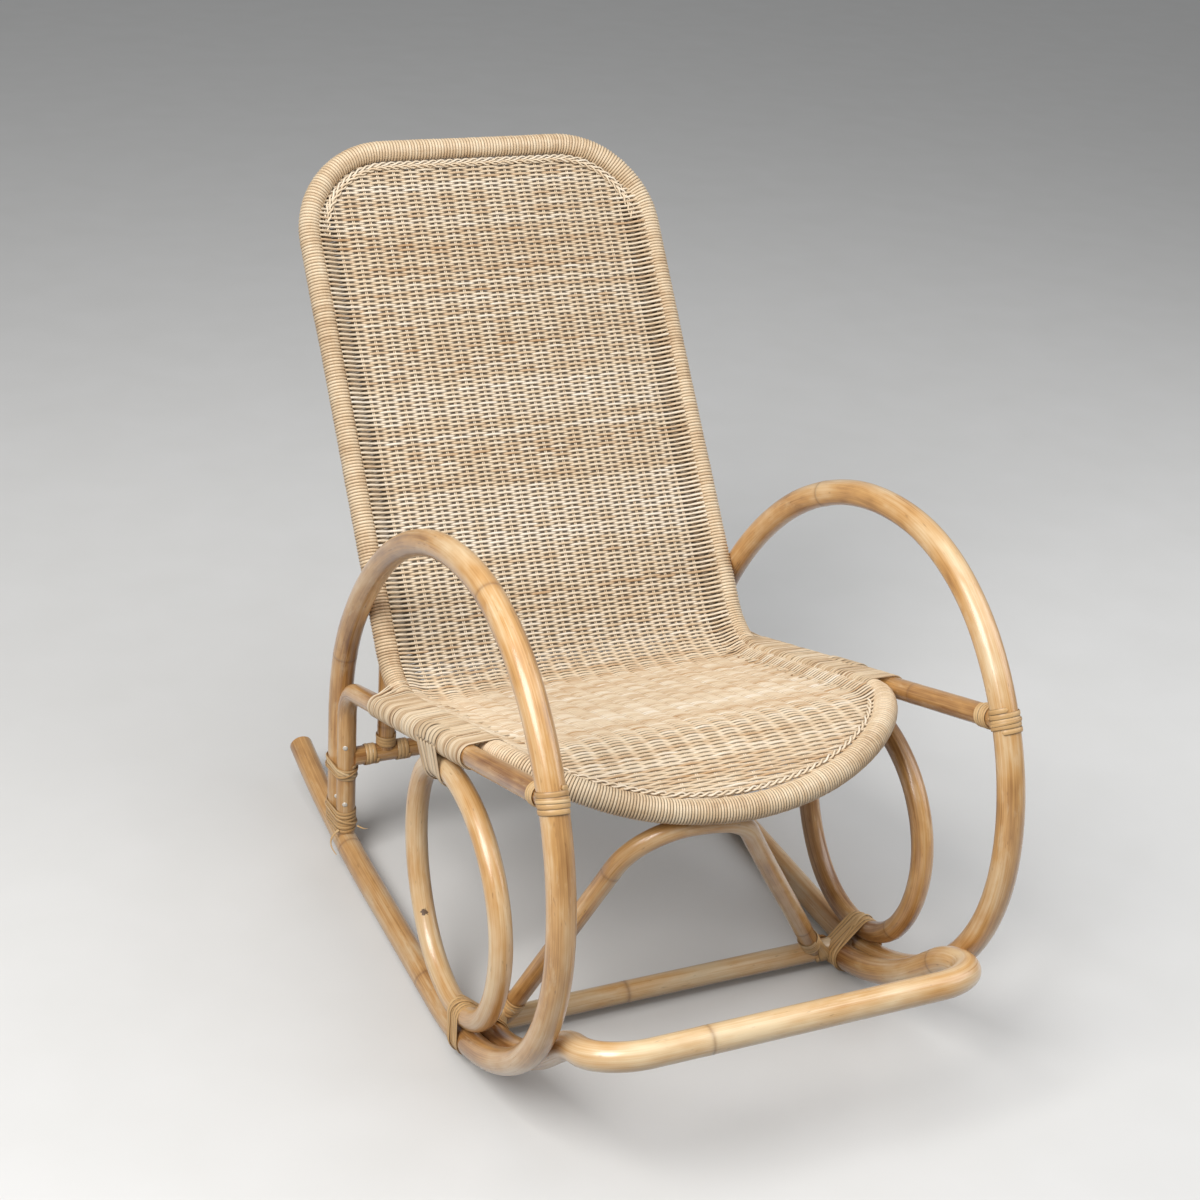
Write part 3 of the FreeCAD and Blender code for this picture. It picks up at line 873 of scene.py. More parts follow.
@dataclass
class SideFrame:
    """One side of the chair: the looped side pole, the seat rail with its leg, and the hoop."""

    side: str
    sizes: ChairSizes = SIZES
    flat_rear_y: float = 0.103
    flat_front_y: float = -0.187
    curve_low_r: float = 0.388
    tip_y: float = 0.451
    tip_rise: float = 0.0385
    post_y: float = -0.550
    arm_low_r: float = 0.353
    arm_top_r: float = 0.285
    arm_fall: tuple[float, float, float] = (0.078, 0.547, 42.0)
    rear_post_top_z: float = 0.215
    leg_bend_r: float = 0.060
    hoop_foot_angle: float = 13.0
    hoop_top_y: float = -0.145
    hoop_rear: tuple[float, float] = (-0.077, 0.240)
    hoop_front: tuple[float, float] = (-0.383, 0.222)
    rail_to_hoop: float = 0.0323
    post_stop: float = 0.012
    leg_stop: float = 0.010
    rail_stop: float = 0.012
    left_knots: tuple[tuple[float, float], ...] = (
        (-0.139, 0.017), (0.198, 0.02), (-0.292, 0.681), (0.240, 0.330))
    right_knots: tuple[tuple[float, float], ...] = ((-0.029, 0.632), (0.05, 0.017))

    @property
    def x(self) -> float:
        """Place of the side across the chair."""
        return self.sizes.half_gauge * (1 if self.side == "right" else -1)

    @property
    def seed(self) -> int:
        """Start of the side's random values."""
        return 10 if self.side == "right" else 40

    def stations(self, flat: Sequence[tuple[float, float, float, float]]) -> list[Station]:
        """Stations of this side from y, z and the direction's y, z."""
        return [((self.x, y, z), (0, dy, dz)) for y, z, dy, dz in flat]

    @property
    def runner_r(self) -> float:
        """Radius of the runner behind its straight middle."""
        run = self.tip_y - self.flat_rear_y
        return (run ** 2 + self.tip_rise ** 2) / (2 * self.tip_rise)

    def runner_z(self, y: float) -> float:
        """Height of the runner's centre line behind its straight middle."""
        drop = math.sqrt(self.runner_r ** 2 - (y - self.flat_rear_y) ** 2)
        return self.sizes.side_r + self.runner_r - drop

    def on_front_curve(self, angle: float, inward: float) -> tuple[float, float, float, float]:
        """A place on the front curve, or beside it.

        Args:
            angle: How far the curve has turned up, in degrees.
            inward: Distance from the pole's centre line to the curve's middle.

        Returns:
            The point's y and z, and the direction's y and z.
        """
        radius = self.curve_low_r - inward
        y = self.flat_front_y - radius * sin_deg(angle)
        z = self.sizes.side_r + self.curve_low_r - radius * cos_deg(angle)
        return y, z, -cos_deg(angle), sin_deg(angle)

    def side_stations(self) -> list[Station]:
        """Draws the side pole.

        Returns:
            Stations from the tip of the runner, up the front, over the arm and down the rear post.
        """
        s = self.sizes
        tip = math.degrees(math.asin((self.tip_y - self.flat_rear_y) / self.runner_r))
        c, d = cos_deg(45), sin_deg(45)
        mid_y, mid_z, _, _ = self.on_front_curve(45, 0)
        top_r = (mid_y - self.post_y) / (1 - c)
        post_z = mid_z + top_r * d
        arm_y, arm_z = self.post_y + self.arm_low_r * (1 - c), post_z + self.arm_low_r * d
        fall_y, fall_z, fall = self.arm_fall
        return self.stations([
            (self.tip_y, s.side_r + self.tip_rise, -cos_deg(tip), -sin_deg(tip)),
            (self.flat_rear_y, s.side_r, -1, 0),
            (self.flat_front_y, s.side_r, -1, 0),
            (mid_y, mid_z, -c, d),
            (self.post_y, post_z, 0, 1),
            (arm_y, arm_z, c, d),
            (arm_y + self.arm_top_r * d, arm_z + self.arm_top_r * (1 - c), 1, 0),
            (fall_y, fall_z, cos_deg(fall), -sin_deg(fall)),
            (s.rear_post_y, self.rear_post_top_z, 0, -1),
            (s.rear_post_y, self.runner_z(s.rear_post_y) + self.post_stop, 0, -1),
        ])

    def post_line(self) -> Array:
        """Points of the post between its upright place and its lean under the arm."""
        return centre_line(self.side_stations()[4:6])

    def joint(self) -> Array:
        """Finds where the rail's middle line meets the post's.

        Returns:
            The point on the post's middle line.
        """
        s = self.sizes
        line = self.post_line()
        off = np.abs(line[:, 2] - s.seat_z(0.0) + math.tan(math.radians(s.seat_rise)) * line[:, 1])
        return line[np.argmin(off)]

    def rail_stations(self) -> list[Station]:
        """Draws the seat rail.

        Returns:
            Stations from the post to the foot of the rear leg.
        """
        s = self.sizes
        bend = self.leg_bend_r * math.tan(math.radians(90 - s.seat_rise) / 2)
        dy, dz = cos_deg(s.seat_rise), sin_deg(s.seat_rise)
        front = float(self.joint()[1]) + self.rail_stop
        return self.stations([
            (front, s.seat_z(front), dy, -dz),
            (s.leg_y - bend * dy, s.seat_z(s.leg_y - bend * dy), dy, -dz),
            (s.leg_y, s.seat_z(s.leg_y) - bend, 0, -1),
            (s.leg_y, self.runner_z(s.leg_y) + self.leg_stop, 0, -1),
        ])

    def hoop_stations(self) -> list[Station]:
        """Draws the hoop.

        Returns:
            Stations from its foot up behind, over and down in front.
        """
        s = self.sizes
        inward = s.side_r + s.gap + s.hoop_r
        y, z, dy, dz = self.on_front_curve(self.hoop_foot_angle, inward)
        top = (self.hoop_top_y - self.rail_to_hoop * sin_deg(s.seat_rise),
               s.seat_z(self.hoop_top_y) - self.rail_to_hoop * cos_deg(s.seat_rise))
        return self.stations([
            (y, z, -dy, -dz),
            (*self.hoop_rear, 0, 1),
            (*top, -cos_deg(s.seat_rise), sin_deg(s.seat_rise)),
            (*self.hoop_front, 0, -1),
            (y, z, -dy, -dz),
        ])

    def build(self, dresser: Dresser) -> None:
        """Makes the side's three poles.

        Args:
            dresser: Gives the finish.
        """
        s = self.sizes
        is_left = self.side == "left"
        Pole(f"{self.side}_looped_pole", self.side_stations(), s.side_r, f"{self.side}_side_pole", self.seed,
             knots=self.left_knots if is_left else self.right_knots).build(dresser)
        Pole(f"{self.side}_rail_and_leg", self.rail_stations(), s.rail_r, f"{self.side}_seat_rail",
             self.seed + 1, tone=0.42).build(dresser)
        # The left hoop is painted paler, a painted reflection of the sky, and the right hoop darker, painted
        # shade.
        Pole(f"{self.side}_side_hoop", self.hoop_stations(), s.hoop_r, f"{self.side}_hoop", self.seed + 2,
             tone=0.58 if is_left else 0.28, spacing=2.0).build(dresser)


def other_side(half: Sequence[Station]) -> list[Station]:
    """Stations of the left side that match those of the right, from the middle outwards."""
    return [((-p[0], p[1], p[2]), (d[0], -d[1], -d[2])) for p, d in reversed(half)]


def both_sides(half: list[Station]) -> list[Station]:
    """Stations from the right side to the middle, and on to the left side."""
    return half + other_side(half)


@dataclass
class CrossMembers:
    """Poles that join the two sides."""

    sizes: ChairSizes = SIZES
    foot_reach: tuple[float, float, float] = (-0.542, 0.196, 20.0)
    foot_bar_z: float = 0.215
    foot_bar_half: float = 0.195
    arch_left: tuple[float, float, float] = (-0.238, 14.5, 0.320)
    arch_right: tuple[float, float, float] = (0.227, 30.3, 0.345)
    arch_apex_x: float = -0.068
    arch_foot: float = 0.008
    brace_half: float = 0.240
    brace_bend_r: float = 0.070
    brace_foot: float = 0.008
    half_sheet: float = 0.0025
    end_sink: float = 0.004

    def foot_stations(self) -> list[Station]:
        """Draws the foot bar.

        Returns:
            Stations along its right arm, the bar and its left arm.
        """
        s, side = self.sizes, SideFrame("right")
        x = s.half_gauge - s.side_r - s.foot_r - s.gap
        angle = math.degrees(math.asin((side.flat_front_y - s.stretcher_y) / side.curve_low_r))
        reach_y, reach_z, rise = self.foot_reach
        half = []
        for y, z, dy, dz in (side.on_front_curve(angle, 0), side.on_front_curve(45, 0),
                             (reach_y, reach_z, -cos_deg(rise), sin_deg(rise))):
            half.append(((x, y, z), (0, dy, dz)))
        half.append(((self.foot_bar_half, -s.depth / 2 + s.foot_r, self.foot_bar_z), (-1, 0, 0)))
        return both_sides(half)

    def arch_frame(self) -> tuple[Array, Array, float]:
        """Lays out the leaning plane of the arch.

        Returns:
            The foot of the plane, the direction up it, and the rise to the apex.
        """
        s = self.sizes
        base = np.array([0, s.stretcher_y, s.stretcher_z])
        meets, _ = s.on_lip(s.lip_length * math.sqrt(1 - (self.arch_apex_x / s.rim_x) ** 2))
        rise = np.linalg.norm(meets - base)
        flats = 1 / FLAT_COS
        return base, (meets - base) / rise, rise - (s.rim_r + s.arch_r) * flats - s.gap

    def arch_stations(self) -> list[Station]:
        """Draws the arch.

        Returns:
            Stations from its left foot to its right one.
        """
        base, up, apex = self.arch_frame()

        def at(x: float, rise: float, dx: float, drise: float) -> Station:
            """A station in the arch's plane."""
            return base + np.array([x, 0, 0]) + up * rise, np.array([dx, 0, 0]) + up * drise

        left_x, left, left_rise = self.arch_left
        right_x, right, right_rise = self.arch_right
        left_top_x = left_x + left_rise * math.tan(math.radians(left))
        right_top_x = right_x - right_rise * math.tan(math.radians(right))
        return [
            at(left_x, self.arch_foot, sin_deg(left), cos_deg(left)),
            at(left_top_x, left_rise, sin_deg(left), cos_deg(left)),
            at(self.arch_apex_x, apex, 1, 0),
            at(right_top_x, right_rise, sin_deg(right), -cos_deg(right)),
            at(right_x, self.arch_foot, sin_deg(right), -cos_deg(right)),
        ]

    def brace_stations(self) -> list[Station]:
        """Draws the brace that stands on the rear crossbar behind the back.

        Returns:
            Stations up its right leg, across, and down its left leg.
        """
        s = self.sizes
        reach = self.half_sheet + s.gap + s.brace_r / FLAT_COS
        lean = s.back_up[1] / s.back_up[2]
        top = s.back_top_z + (s.leg_y - reach * s.back_up[2] - s.back_top_y) / lean - reach * s.back_up[1]
        return both_sides([
            ((self.brace_half, s.leg_y, s.crossbar_z + self.brace_foot), (0, 0, 1)),
            ((self.brace_half, s.leg_y, top - self.brace_bend_r), (0, 0, 1)),
            ((self.brace_half - self.brace_bend_r, s.leg_y, top), (-1, 0, 0)),
        ])

    def straight_stations(self, half: float, y: float, z: float) -> list[Station]:
        """Stations of a straight member from left to right."""
        return [((x, y, z), (1, 0, 0)) for x in (-half, half)]

    def build(self, dresser: Dresser) -> None:
        """Makes the members across the chair.

        Args:
            dresser: Gives the finish.
        """
        s = self.sizes
        front = self.straight_stations(s.half_gauge - s.side_r + self.end_sink, s.stretcher_y, s.stretcher_z)
        rear = self.straight_stations(s.half_gauge - s.rail_r + self.end_sink, s.leg_y, s.crossbar_z)
        for pole in (
            # The foot bar is painted darker towards its ends, painted shade on its bent arms.
            Pole("foot_rest_bar", self.foot_stations(), s.foot_r, "foot_bar", 70, tone=0.68, painted_end_shade=0.38),
            # The front cross pole is painted paler, painted light that offsets the shade under the seat.
            Pole("front_cross_pole", front, s.stretcher_r, "front_stretcher", 71, tone=0.68),
            Pole("arched_brace", self.arch_stations(), s.arch_r, "arch_brace", 72, tone=0.46),
            Pole("rear_cross_pole", rear, s.crossbar_r, "rear_crossbar", 73, tone=0.4),
            Pole("rear_back_brace", self.brace_stations(), s.brace_r, "back_brace", 74, tone=0.45),
        ):
            pole.build(dresser)


# Shell

@dataclass
class Shell:
    """The woven shell: stakes along it, weft across it, twined borders, and the wrapped rim."""

    sizes: ChairSizes = SIZES
    pitch: float = 0.0034
    stake_pitch: float = 0.0250
    stakes: int = 19
    stake_r: float = 0.0010
    weft_wide: float = 0.00185
    weft_thick: float = 0.00155
    swing: float = 0.0015
    per_half_wave: int = 4
    wrap_pitch: float = 0.0046
    lip_wrap_pitch: float = 0.0038
    wrap_lift: float = 0.0019
    wrap_points: int = 5
    first_row: float = 0.021
    last_row: float = 0.018
    weft_inset: float = 0.011
    tuck: float = 0.72
    piece_ends: tuple[float, float] = (0.42, 0.84)
    seat_from: float = 0.74
    seat_over: float = 0.12
    stake_twin: float = 0.0012
    stake_stop: float = 0.006
    stake_top: float = 0.010
    border_count: int = 420
    border_half: float = 0.0016
    border_rows: tuple[tuple[bool, float, float, int], ...] = (
        (True, 0.0205, 0.026, 1), (True, 0.0265, 0.026, -1), (False, 0.0215, 0.024, 1))
    splice_y: float = -0.060
    profile: Array = field(init=False)

    def __post_init__(self) -> None:
        """Draws the shell's middle line, from the top of the back to the front of the lip."""
        s = self.sizes
        on_seat, on_back = s.folds()
        middle, middle_way = s.on_lip(s.lip_length / 2)
        end, end_way = s.on_lip(s.lip_length)
        self.profile = centre_line([
            ((0, s.back_top_y, s.back_top_z), -s.back_up),
            (on_back, -s.back_up),
            (on_seat, s.seat_front),
            ((0, s.lip_start_y, s.seat_z(s.lip_start_y)), s.seat_front),
            (middle, middle_way),
            (end, end_way),
        ])
        self.profile_runs = runs_of(self.profile)
        ways = tangents(self.profile)
        self.profile_up = np.stack([ways[:, 0], ways[:, 2], -ways[:, 1]], axis=1)

    @property
    def length(self) -> float:
        """Length of the middle line."""
        return float(self.profile_runs[-1])

    def place(self, x: Array, run: Array, lift: Array) -> tuple[Array, Array]:
        """Points over the shell, and its outward direction there.

        Args:
            x: Places across the chair.
            run: Lengths along the middle line from the top.
            lift: Heights over the middle surface.

        Returns:
            The points and the directions.
        """
        x, run, lift = np.broadcast_arrays(np.asarray(x, float), run, lift)
        base = columns_at(run, self.profile_runs, self.profile)
        up = columns_at(run, self.profile_runs, self.profile_up)
        up /= np.linalg.norm(up, axis=-1, keepdims=True)
        base[..., 0] = x
        return base + up * lift[..., None], up

    def half_width(self, run: Array, inset: float) -> Array:
        """Half the shell's width.

        Args:
            run: Lengths along the middle line from the top.
            inset: Distance inside the rim's middle line.

        Returns:
            Half the width at each length.
        """
        s = self.sizes
        run = np.asarray(run, float)
        corner = s.corner_r - inset
        down = np.clip(s.corner_r - run, 0, corner)
        top = s.rim_x - s.corner_r + np.sqrt(np.maximum(corner ** 2 - down ** 2, 0))
        along = np.clip((run - self.length + s.lip_length) / (s.lip_length - inset), 0, 1)
        front = (s.rim_x - inset) * np.sqrt(1 - along ** 2)
        return np.minimum(np.where(run < inset, 0, top), front)

    def weft_row(self, rng: np.random.Generator, number: int, run: float, band: float) -> Run:
        """Weaves one row across the stakes, with its ends laid on the flank of the rim.

        Args:
            rng: Seeded generator.
            number: The row's number; even rows start over a stake and odd ones under it.
            run: Length along the middle line from the top.
            band: How much paler the row is than the rest.

        Returns:
            The row.
        """
        s = self.sizes
        step = self.stake_pitch / self.per_half_wave
        count = int(math.ceil(s.rim_x / step))
        last = self.stake_pitch * (self.stakes - 1) / 2
        flank = (s.rim_r + self.wrap_lift) * self.tuck
        end_x = s.rim_x - flank
        sign = 1 if number % 2 == 0 else -1
        outer = sign * (-1) ** ((self.stakes - 1) // 2)
        limit = min(float(self.half_width(run, self.weft_inset)), end_x)
        x = np.clip(np.arange(-count, count + 1) * step, -limit, limit)
        beyond = eased(np.clip((np.abs(x) - last) / (end_x - last), 0, 1))
        wave = np.cos(np.pi * x / self.stake_pitch)
        wave = np.sign(wave) * np.abs(wave) ** 0.8
        over = sign * wave
        lift = sign * self.swing * wave * (1 + 0.12 * wander(rng, x, 0.03))
        lift = lift * (1 - beyond) + beyond * outer * flank
        along = run + 0.00025 * wander(rng, x, 0.05) + 0.0001 * rng.uniform(-1, 1)
        centre, up = self.place(x, along, lift)
        under = np.clip(-over, 0, 1)
        wide = self.weft_wide * (1 + 0.06 * wander(rng, x, 0.04) + 0.1 * np.abs(over) + 0.35 * under)
        wide = wide * (1 - 0.25 * beyond if outer > 0 else 1 + np.minimum(0.95, 2.4 * beyond))
        tone = 0.5 + band + rng.uniform(-0.13, 0.13) + 0.11 * wander(rng, x, 0.06)
        # Painted shade: a row is marked dark where it dives under a stake; beyond the last stake the lower
        # rows, widened to close the slots, are marked dark all over as the shade in the slots.
        deep = np.clip(-2.0 * over, -1, 1) * (1 - beyond) - outer * beyond
        seat = float(np.clip((run - self.seat_from) / self.seat_over, 0, 1))
        thick = self.weft_thick * (1 + 0.22 * seat) * (1 + 0.2 * np.abs(over))
        # The seat's rows are painted a little darker, painted shade that tempers the strong light on the seat,
        # and lose most of their painted shade where they dive.
        return closed_run(rng, centre, up, wide * (1 - 0.03 * seat), thick, tone - 0.05 * seat,
                          deep * (1 - 0.92 * seat))

    def weft(self, dresser: Dresser) -> None:
        """Weaves the rows across the stakes, in three pieces.

        Args:
            dresser: Gives the finish.
        """
        rng = np.random.default_rng(5)
        rows = np.arange(self.first_row, self.length - self.last_row, self.pitch)
        bands = wander(rng, rows, 0.045) * 0.09 + wander(rng, rows, 0.012) * 0.05
        pieces = [Rolled(f"cane_weft_{part}", 6) for part in ("upper", "middle", "front")]
        for number, run in enumerate(rows):
            part = sum(run >= end for end in self.piece_ends)
            pieces[part].add(self.weft_row(rng, number, run, bands[number]))
        for piece, nodes in zip(pieces, (("woven_panel",), (), ())):
            dresser.dress(piece.build(80.0), Finish.WEAVE, "cane_weave", *nodes)

    def warp(self, dresser: Dresser) -> None:
        """Lays the stakes in pairs from the top of the back to the lip.

        Args:
            dresser: Gives the finish.
        """
        rng = np.random.default_rng(6)
        s = self.sizes
        piece = Rolled("cane_stakes", 8)
        runs = np.linspace(0, self.length, 240)
        for k in range(self.stakes):
            x = (k - (self.stakes - 1) / 2) * self.stake_pitch
            start = self.stake_top
            if abs(x) > s.rim_x - s.corner_r:
                aside = abs(x) - s.rim_x + s.corner_r
                start = s.corner_r - math.sqrt(s.corner_r ** 2 - aside ** 2) + self.stake_stop
            short = s.lip_length * (1 - math.sqrt(1 - (x / s.rim_x) ** 2))
            at = np.clip(runs, start, self.length - short - self.stake_stop)
            across = x + 0.0012 * wander(rng, at, 0.12)
            for beside in (-self.stake_twin, self.stake_twin):
                centre, up = self.place(across + beside, at, np.zeros(len(at)))
                tone = 0.5 + rng.uniform(-0.1, 0.1)
                piece.add(closed_run(rng, centre, up, self.stake_r, self.stake_r, tone))
        dresser.dress(piece.build(80.0), Finish.WEAVE, "cane_weave")

    def border_line(self, at_top: bool, inset: float) -> tuple[Array, Array]:
        """Draws a line inside the rim.

        Args:
            at_top: Whether the line is at the top of the back, or at the front of the lip.
            inset: Distance inside the rim's middle line.

        Returns:
            Places across the chair and lengths along the middle line.
        """
        s = self.sizes
        if at_top:
            corner = s.corner_r - inset
            turns = np.radians(np.linspace(4, 90, 60))
            x = s.rim_x - s.corner_r + corner * np.cos(turns)
            run = s.corner_r - corner * np.sin(turns)
            return np.concatenate([x, -x[::-1]]), np.concatenate([run, run[::-1]])
        turns = np.radians(np.linspace(14, 166, 160))
        x = (s.rim_x - inset) * np.cos(turns)
        return x, self.length - s.lip_length + (s.lip_length - inset) * np.sin(turns)

    def borders(self, dresser: Dresser) -> None:
        """Twines two strands along the inside of the rim at the top and at the front.

        Args:
            dresser: Gives the finish.
        """
        piece = Rolled("twined_borders", 6)
        rng = np.random.default_rng(7)
        count, half = self.border_count, self.border_half
        for at_top, inset, turn_length, sign in self.border_rows:
            x, run = self.border_line(at_top, inset)
            line, _ = self.place(x, run, np.zeros(len(x)))
            at = runs_of(line)
            even = np.linspace(0, at[-1], count)
            x, run = np.interp(even, at, x), np.interp(even, at, run)
            centre, up = self.place(x, run, np.zeros(count))
            side = np.cross(tangents(centre), up)
            for phase in (0.0, np.pi):
                turn = 2 * np.pi * even / turn_length * sign + phase
                aside, rise = 0.0021 * np.cos(turn), 0.0032 + 0.0017 * np.sin(turn)
                path = centre + side * aside[:, None] + up * rise[:, None]
                tone = 0.55 + rng.uniform(-0.12, 0.12)
                piece.add(closed_run(rng, path, up, half, half * 0.85, tone))
        dresser.dress(piece.build(80.0), Finish.WEAVE, "cane_weave")

    def rim_stations(self) -> tuple[list[Station], list[Station]]:
        """Draws the two lengths of the rim.

        Returns:
            Stations of the back rim and of the seat rim, each from right to left.
        """
        s = self.sizes
        on_seat, on_back = s.folds()
        x = np.array([s.rim_x, 0, 0])
        splice = np.array([0, self.splice_y, s.seat_z(self.splice_y)])
        top = np.array([0, s.back_top_y, s.back_top_z])
        back = both_sides([
            (x + splice, -s.seat_front), (x + on_seat, -s.seat_front), (x + on_back, s.back_up),
            (x + top - s.back_up * s.corner_r, s.back_up),
            (x + top - np.array([s.corner_r, 0, 0]), (-1, 0, 0)),
        ])
        half = [(x + splice, s.seat_front)]
        for turn in (0, 30, 60):
            point, way = s.on_lip(s.lip_length * sin_deg(turn))
            point = point + np.array([s.rim_x * cos_deg(turn), 0, 0])
            inward = np.array([-s.rim_x * sin_deg(turn), 0, 0])
            half.append((point, inward + way * s.lip_length * cos_deg(turn)))
        point, _ = s.on_lip(s.lip_length)
        return back, half + [(point, (-1, 0, 0))] + other_side(half)

    def rims(self, dresser: Dresser) -> None:
        """Wraps the two lengths of the rim, turn by turn.

        Args:
            dresser: Gives the finish.
        """
        nodes, pitches = ("back_rim", "seat_rim"), (self.wrap_pitch, self.lip_wrap_pitch)
        for k, (stations, node, pitch) in enumerate(zip(self.rim_stations(), nodes, pitches)):
            rng = np.random.default_rng(8 + k)
            line = centre_line(stations)
            length = runs_of(line)[-1]
            turns = int(length / pitch)
            runs = np.linspace(0, length, turns * self.wrap_points + 1)
            number = np.arange(len(runs))
            ridge = np.abs(np.sin(np.pi * ((number % self.wrap_points) / self.wrap_points))) ** 0.6
            turn_of = number // self.wrap_points
            lift = rng.uniform(-0.0002, 0.0002, turns + 1)[turn_of]
            bare = self.sizes.rim_r + 0.0004
            radius = bare + self.wrap_lift * ridge + lift + 0.0005 * wander(rng, runs, 0.07)
            tone = 0.54 + rng.uniform(-0.1, 0.1, turns + 1)[turn_of] + 0.12 * wander(rng, runs, 0.06)
            # Painted shade in the grooves between turns, darker on the lip.
            groove_shade = np.where(ridge < 0.2, 0.7 + 0.3 * k, 0.0)
            centre = sampled(line, runs)
            piece = Rolled(f"wrapped_{node}", 18)
            piece.add(closed_run(rng, centre, carried_sides(centre, RIGHT), radius, radius, tone, groove_shade))
            dresser.dress(piece.build(70.0), Finish.WRAP, "wrapped_rim", node)

    def build(self, dresser: Dresser) -> None:
        """Makes the whole shell."""
        for make in (self.weft, self.warp, self.borders, self.rims):
            make(dresser)


# Strips wound round poles

def belt(circles: Sequence[tuple[float, float, float]], lift: float, parts: Array) -> tuple[Array, Array]:
    """A loop drawn tight round circles.

    Args:
        circles: Centre and radius of each circle.
        lift: Distance of the loop from the circles.
        parts: Shares of the way round at which points are wanted.

    Returns:
        Points and outward directions in the plane of the circles.
    """
    turns = np.linspace(0, 2 * np.pi, 721)
    out = np.stack([np.cos(turns), np.sin(turns)], axis=1)
    centres = np.array([c[:2] for c in circles])
    radii = np.array([c[2] for c in circles]) + lift
    best = np.argmax(out @ centres.T + radii, axis=1)
    points = centres[best] + out * radii[best][:, None]
    runs = runs_of(points)
    at = (np.asarray(parts) % 1.0) * runs[-1]
    face = columns_at(at, runs, out)
    return columns_at(at, runs, points), face / np.linalg.norm(face, axis=1, keepdims=True)


@dataclass
class Winding:
    """Turns of a flat strip of cane round one or more poles.

    Its turns may lean along the axis by a slant, start at a phase of the way round, and be gathered into a
    point on the far side of the poles, where each then lies on the one before.
    """

    centre: Sequence[float]
    axis: Sequence[float]
    across: Sequence[float]
    circles: Sequence[Triple]
    turns: float
    pitch: float
    wide: float = 0.0030
    thick: float = 0.0009
    lift: float = 0.0010
    slant: float = 0.0
    phase: float = 0.25
    gather: float = 0.0
    stack: float = 0.0006

    def run(self, rng: np.random.Generator, count: int) -> Run:
        """Winds the strip.

        Args:
            rng: Seeded generator.
            count: Points of the run.

        Returns:
            The strip.
        """
        axis = unit(self.axis)
        across = np.asarray(self.across, float)
        across = unit(across - axis * across.dot(axis))
        up = np.cross(axis, across)
        turn = np.linspace(0, self.turns, count)
        flat, face = belt(self.circles, self.lift, turn + self.phase)
        drawn = 1 - self.gather * np.clip(flat[:, 0] / np.max(flat[:, 0]), 0, 1)
        along = (turn - self.turns / 2) * self.pitch * drawn + self.slant * flat[:, 0]
        along = along + 0.0005 * wander(rng, turn, 0.25)
        points = np.asarray(self.centre, float) + flat[:, :1] * across + flat[:, 1:] * up
        points = points + along[:, None] * axis
        facing = face[:, :1] * across + face[:, 1:] * up
        lump = 0.0003 * wander(rng, turn, 0.15) + self.stack * turn * (1 - drawn)
        tone = 0.5 + rng.uniform(-0.12, 0.12) + 0.1 * wander(rng, turn, 0.5)
        return closed_run(rng, points + facing * lump[:, None], facing, self.wide, self.thick, tone)


def loose_end(points: Sequence[Sequence[float]], facing: Sequence[float], rng: np.random.Generator,
              count: int) -> Run:
    """A short free end of cane that curls away from a lashing.

    Args:
        points: Three points that it bends through.
        facing: The way its flat side faces.
        rng: Seeded generator.
        count: Points of the run.

    Returns:
        The run.
    """
    first, middle, last = (np.array(p, float) for p in points)
    part = np.linspace(0, 1, count)[:, None]
    bend = 2 * middle - (first + last) / 2
    centre = first * (1 - part) ** 2 + bend * 2 * part * (1 - part) + last * part ** 2
    taper = 1 - 0.5 * part[:, 0]
    return closed_run(rng, centre, np.tile(unit(facing), (count, 1)), taper * 0.0018, taper * 0.0006, 0.6)


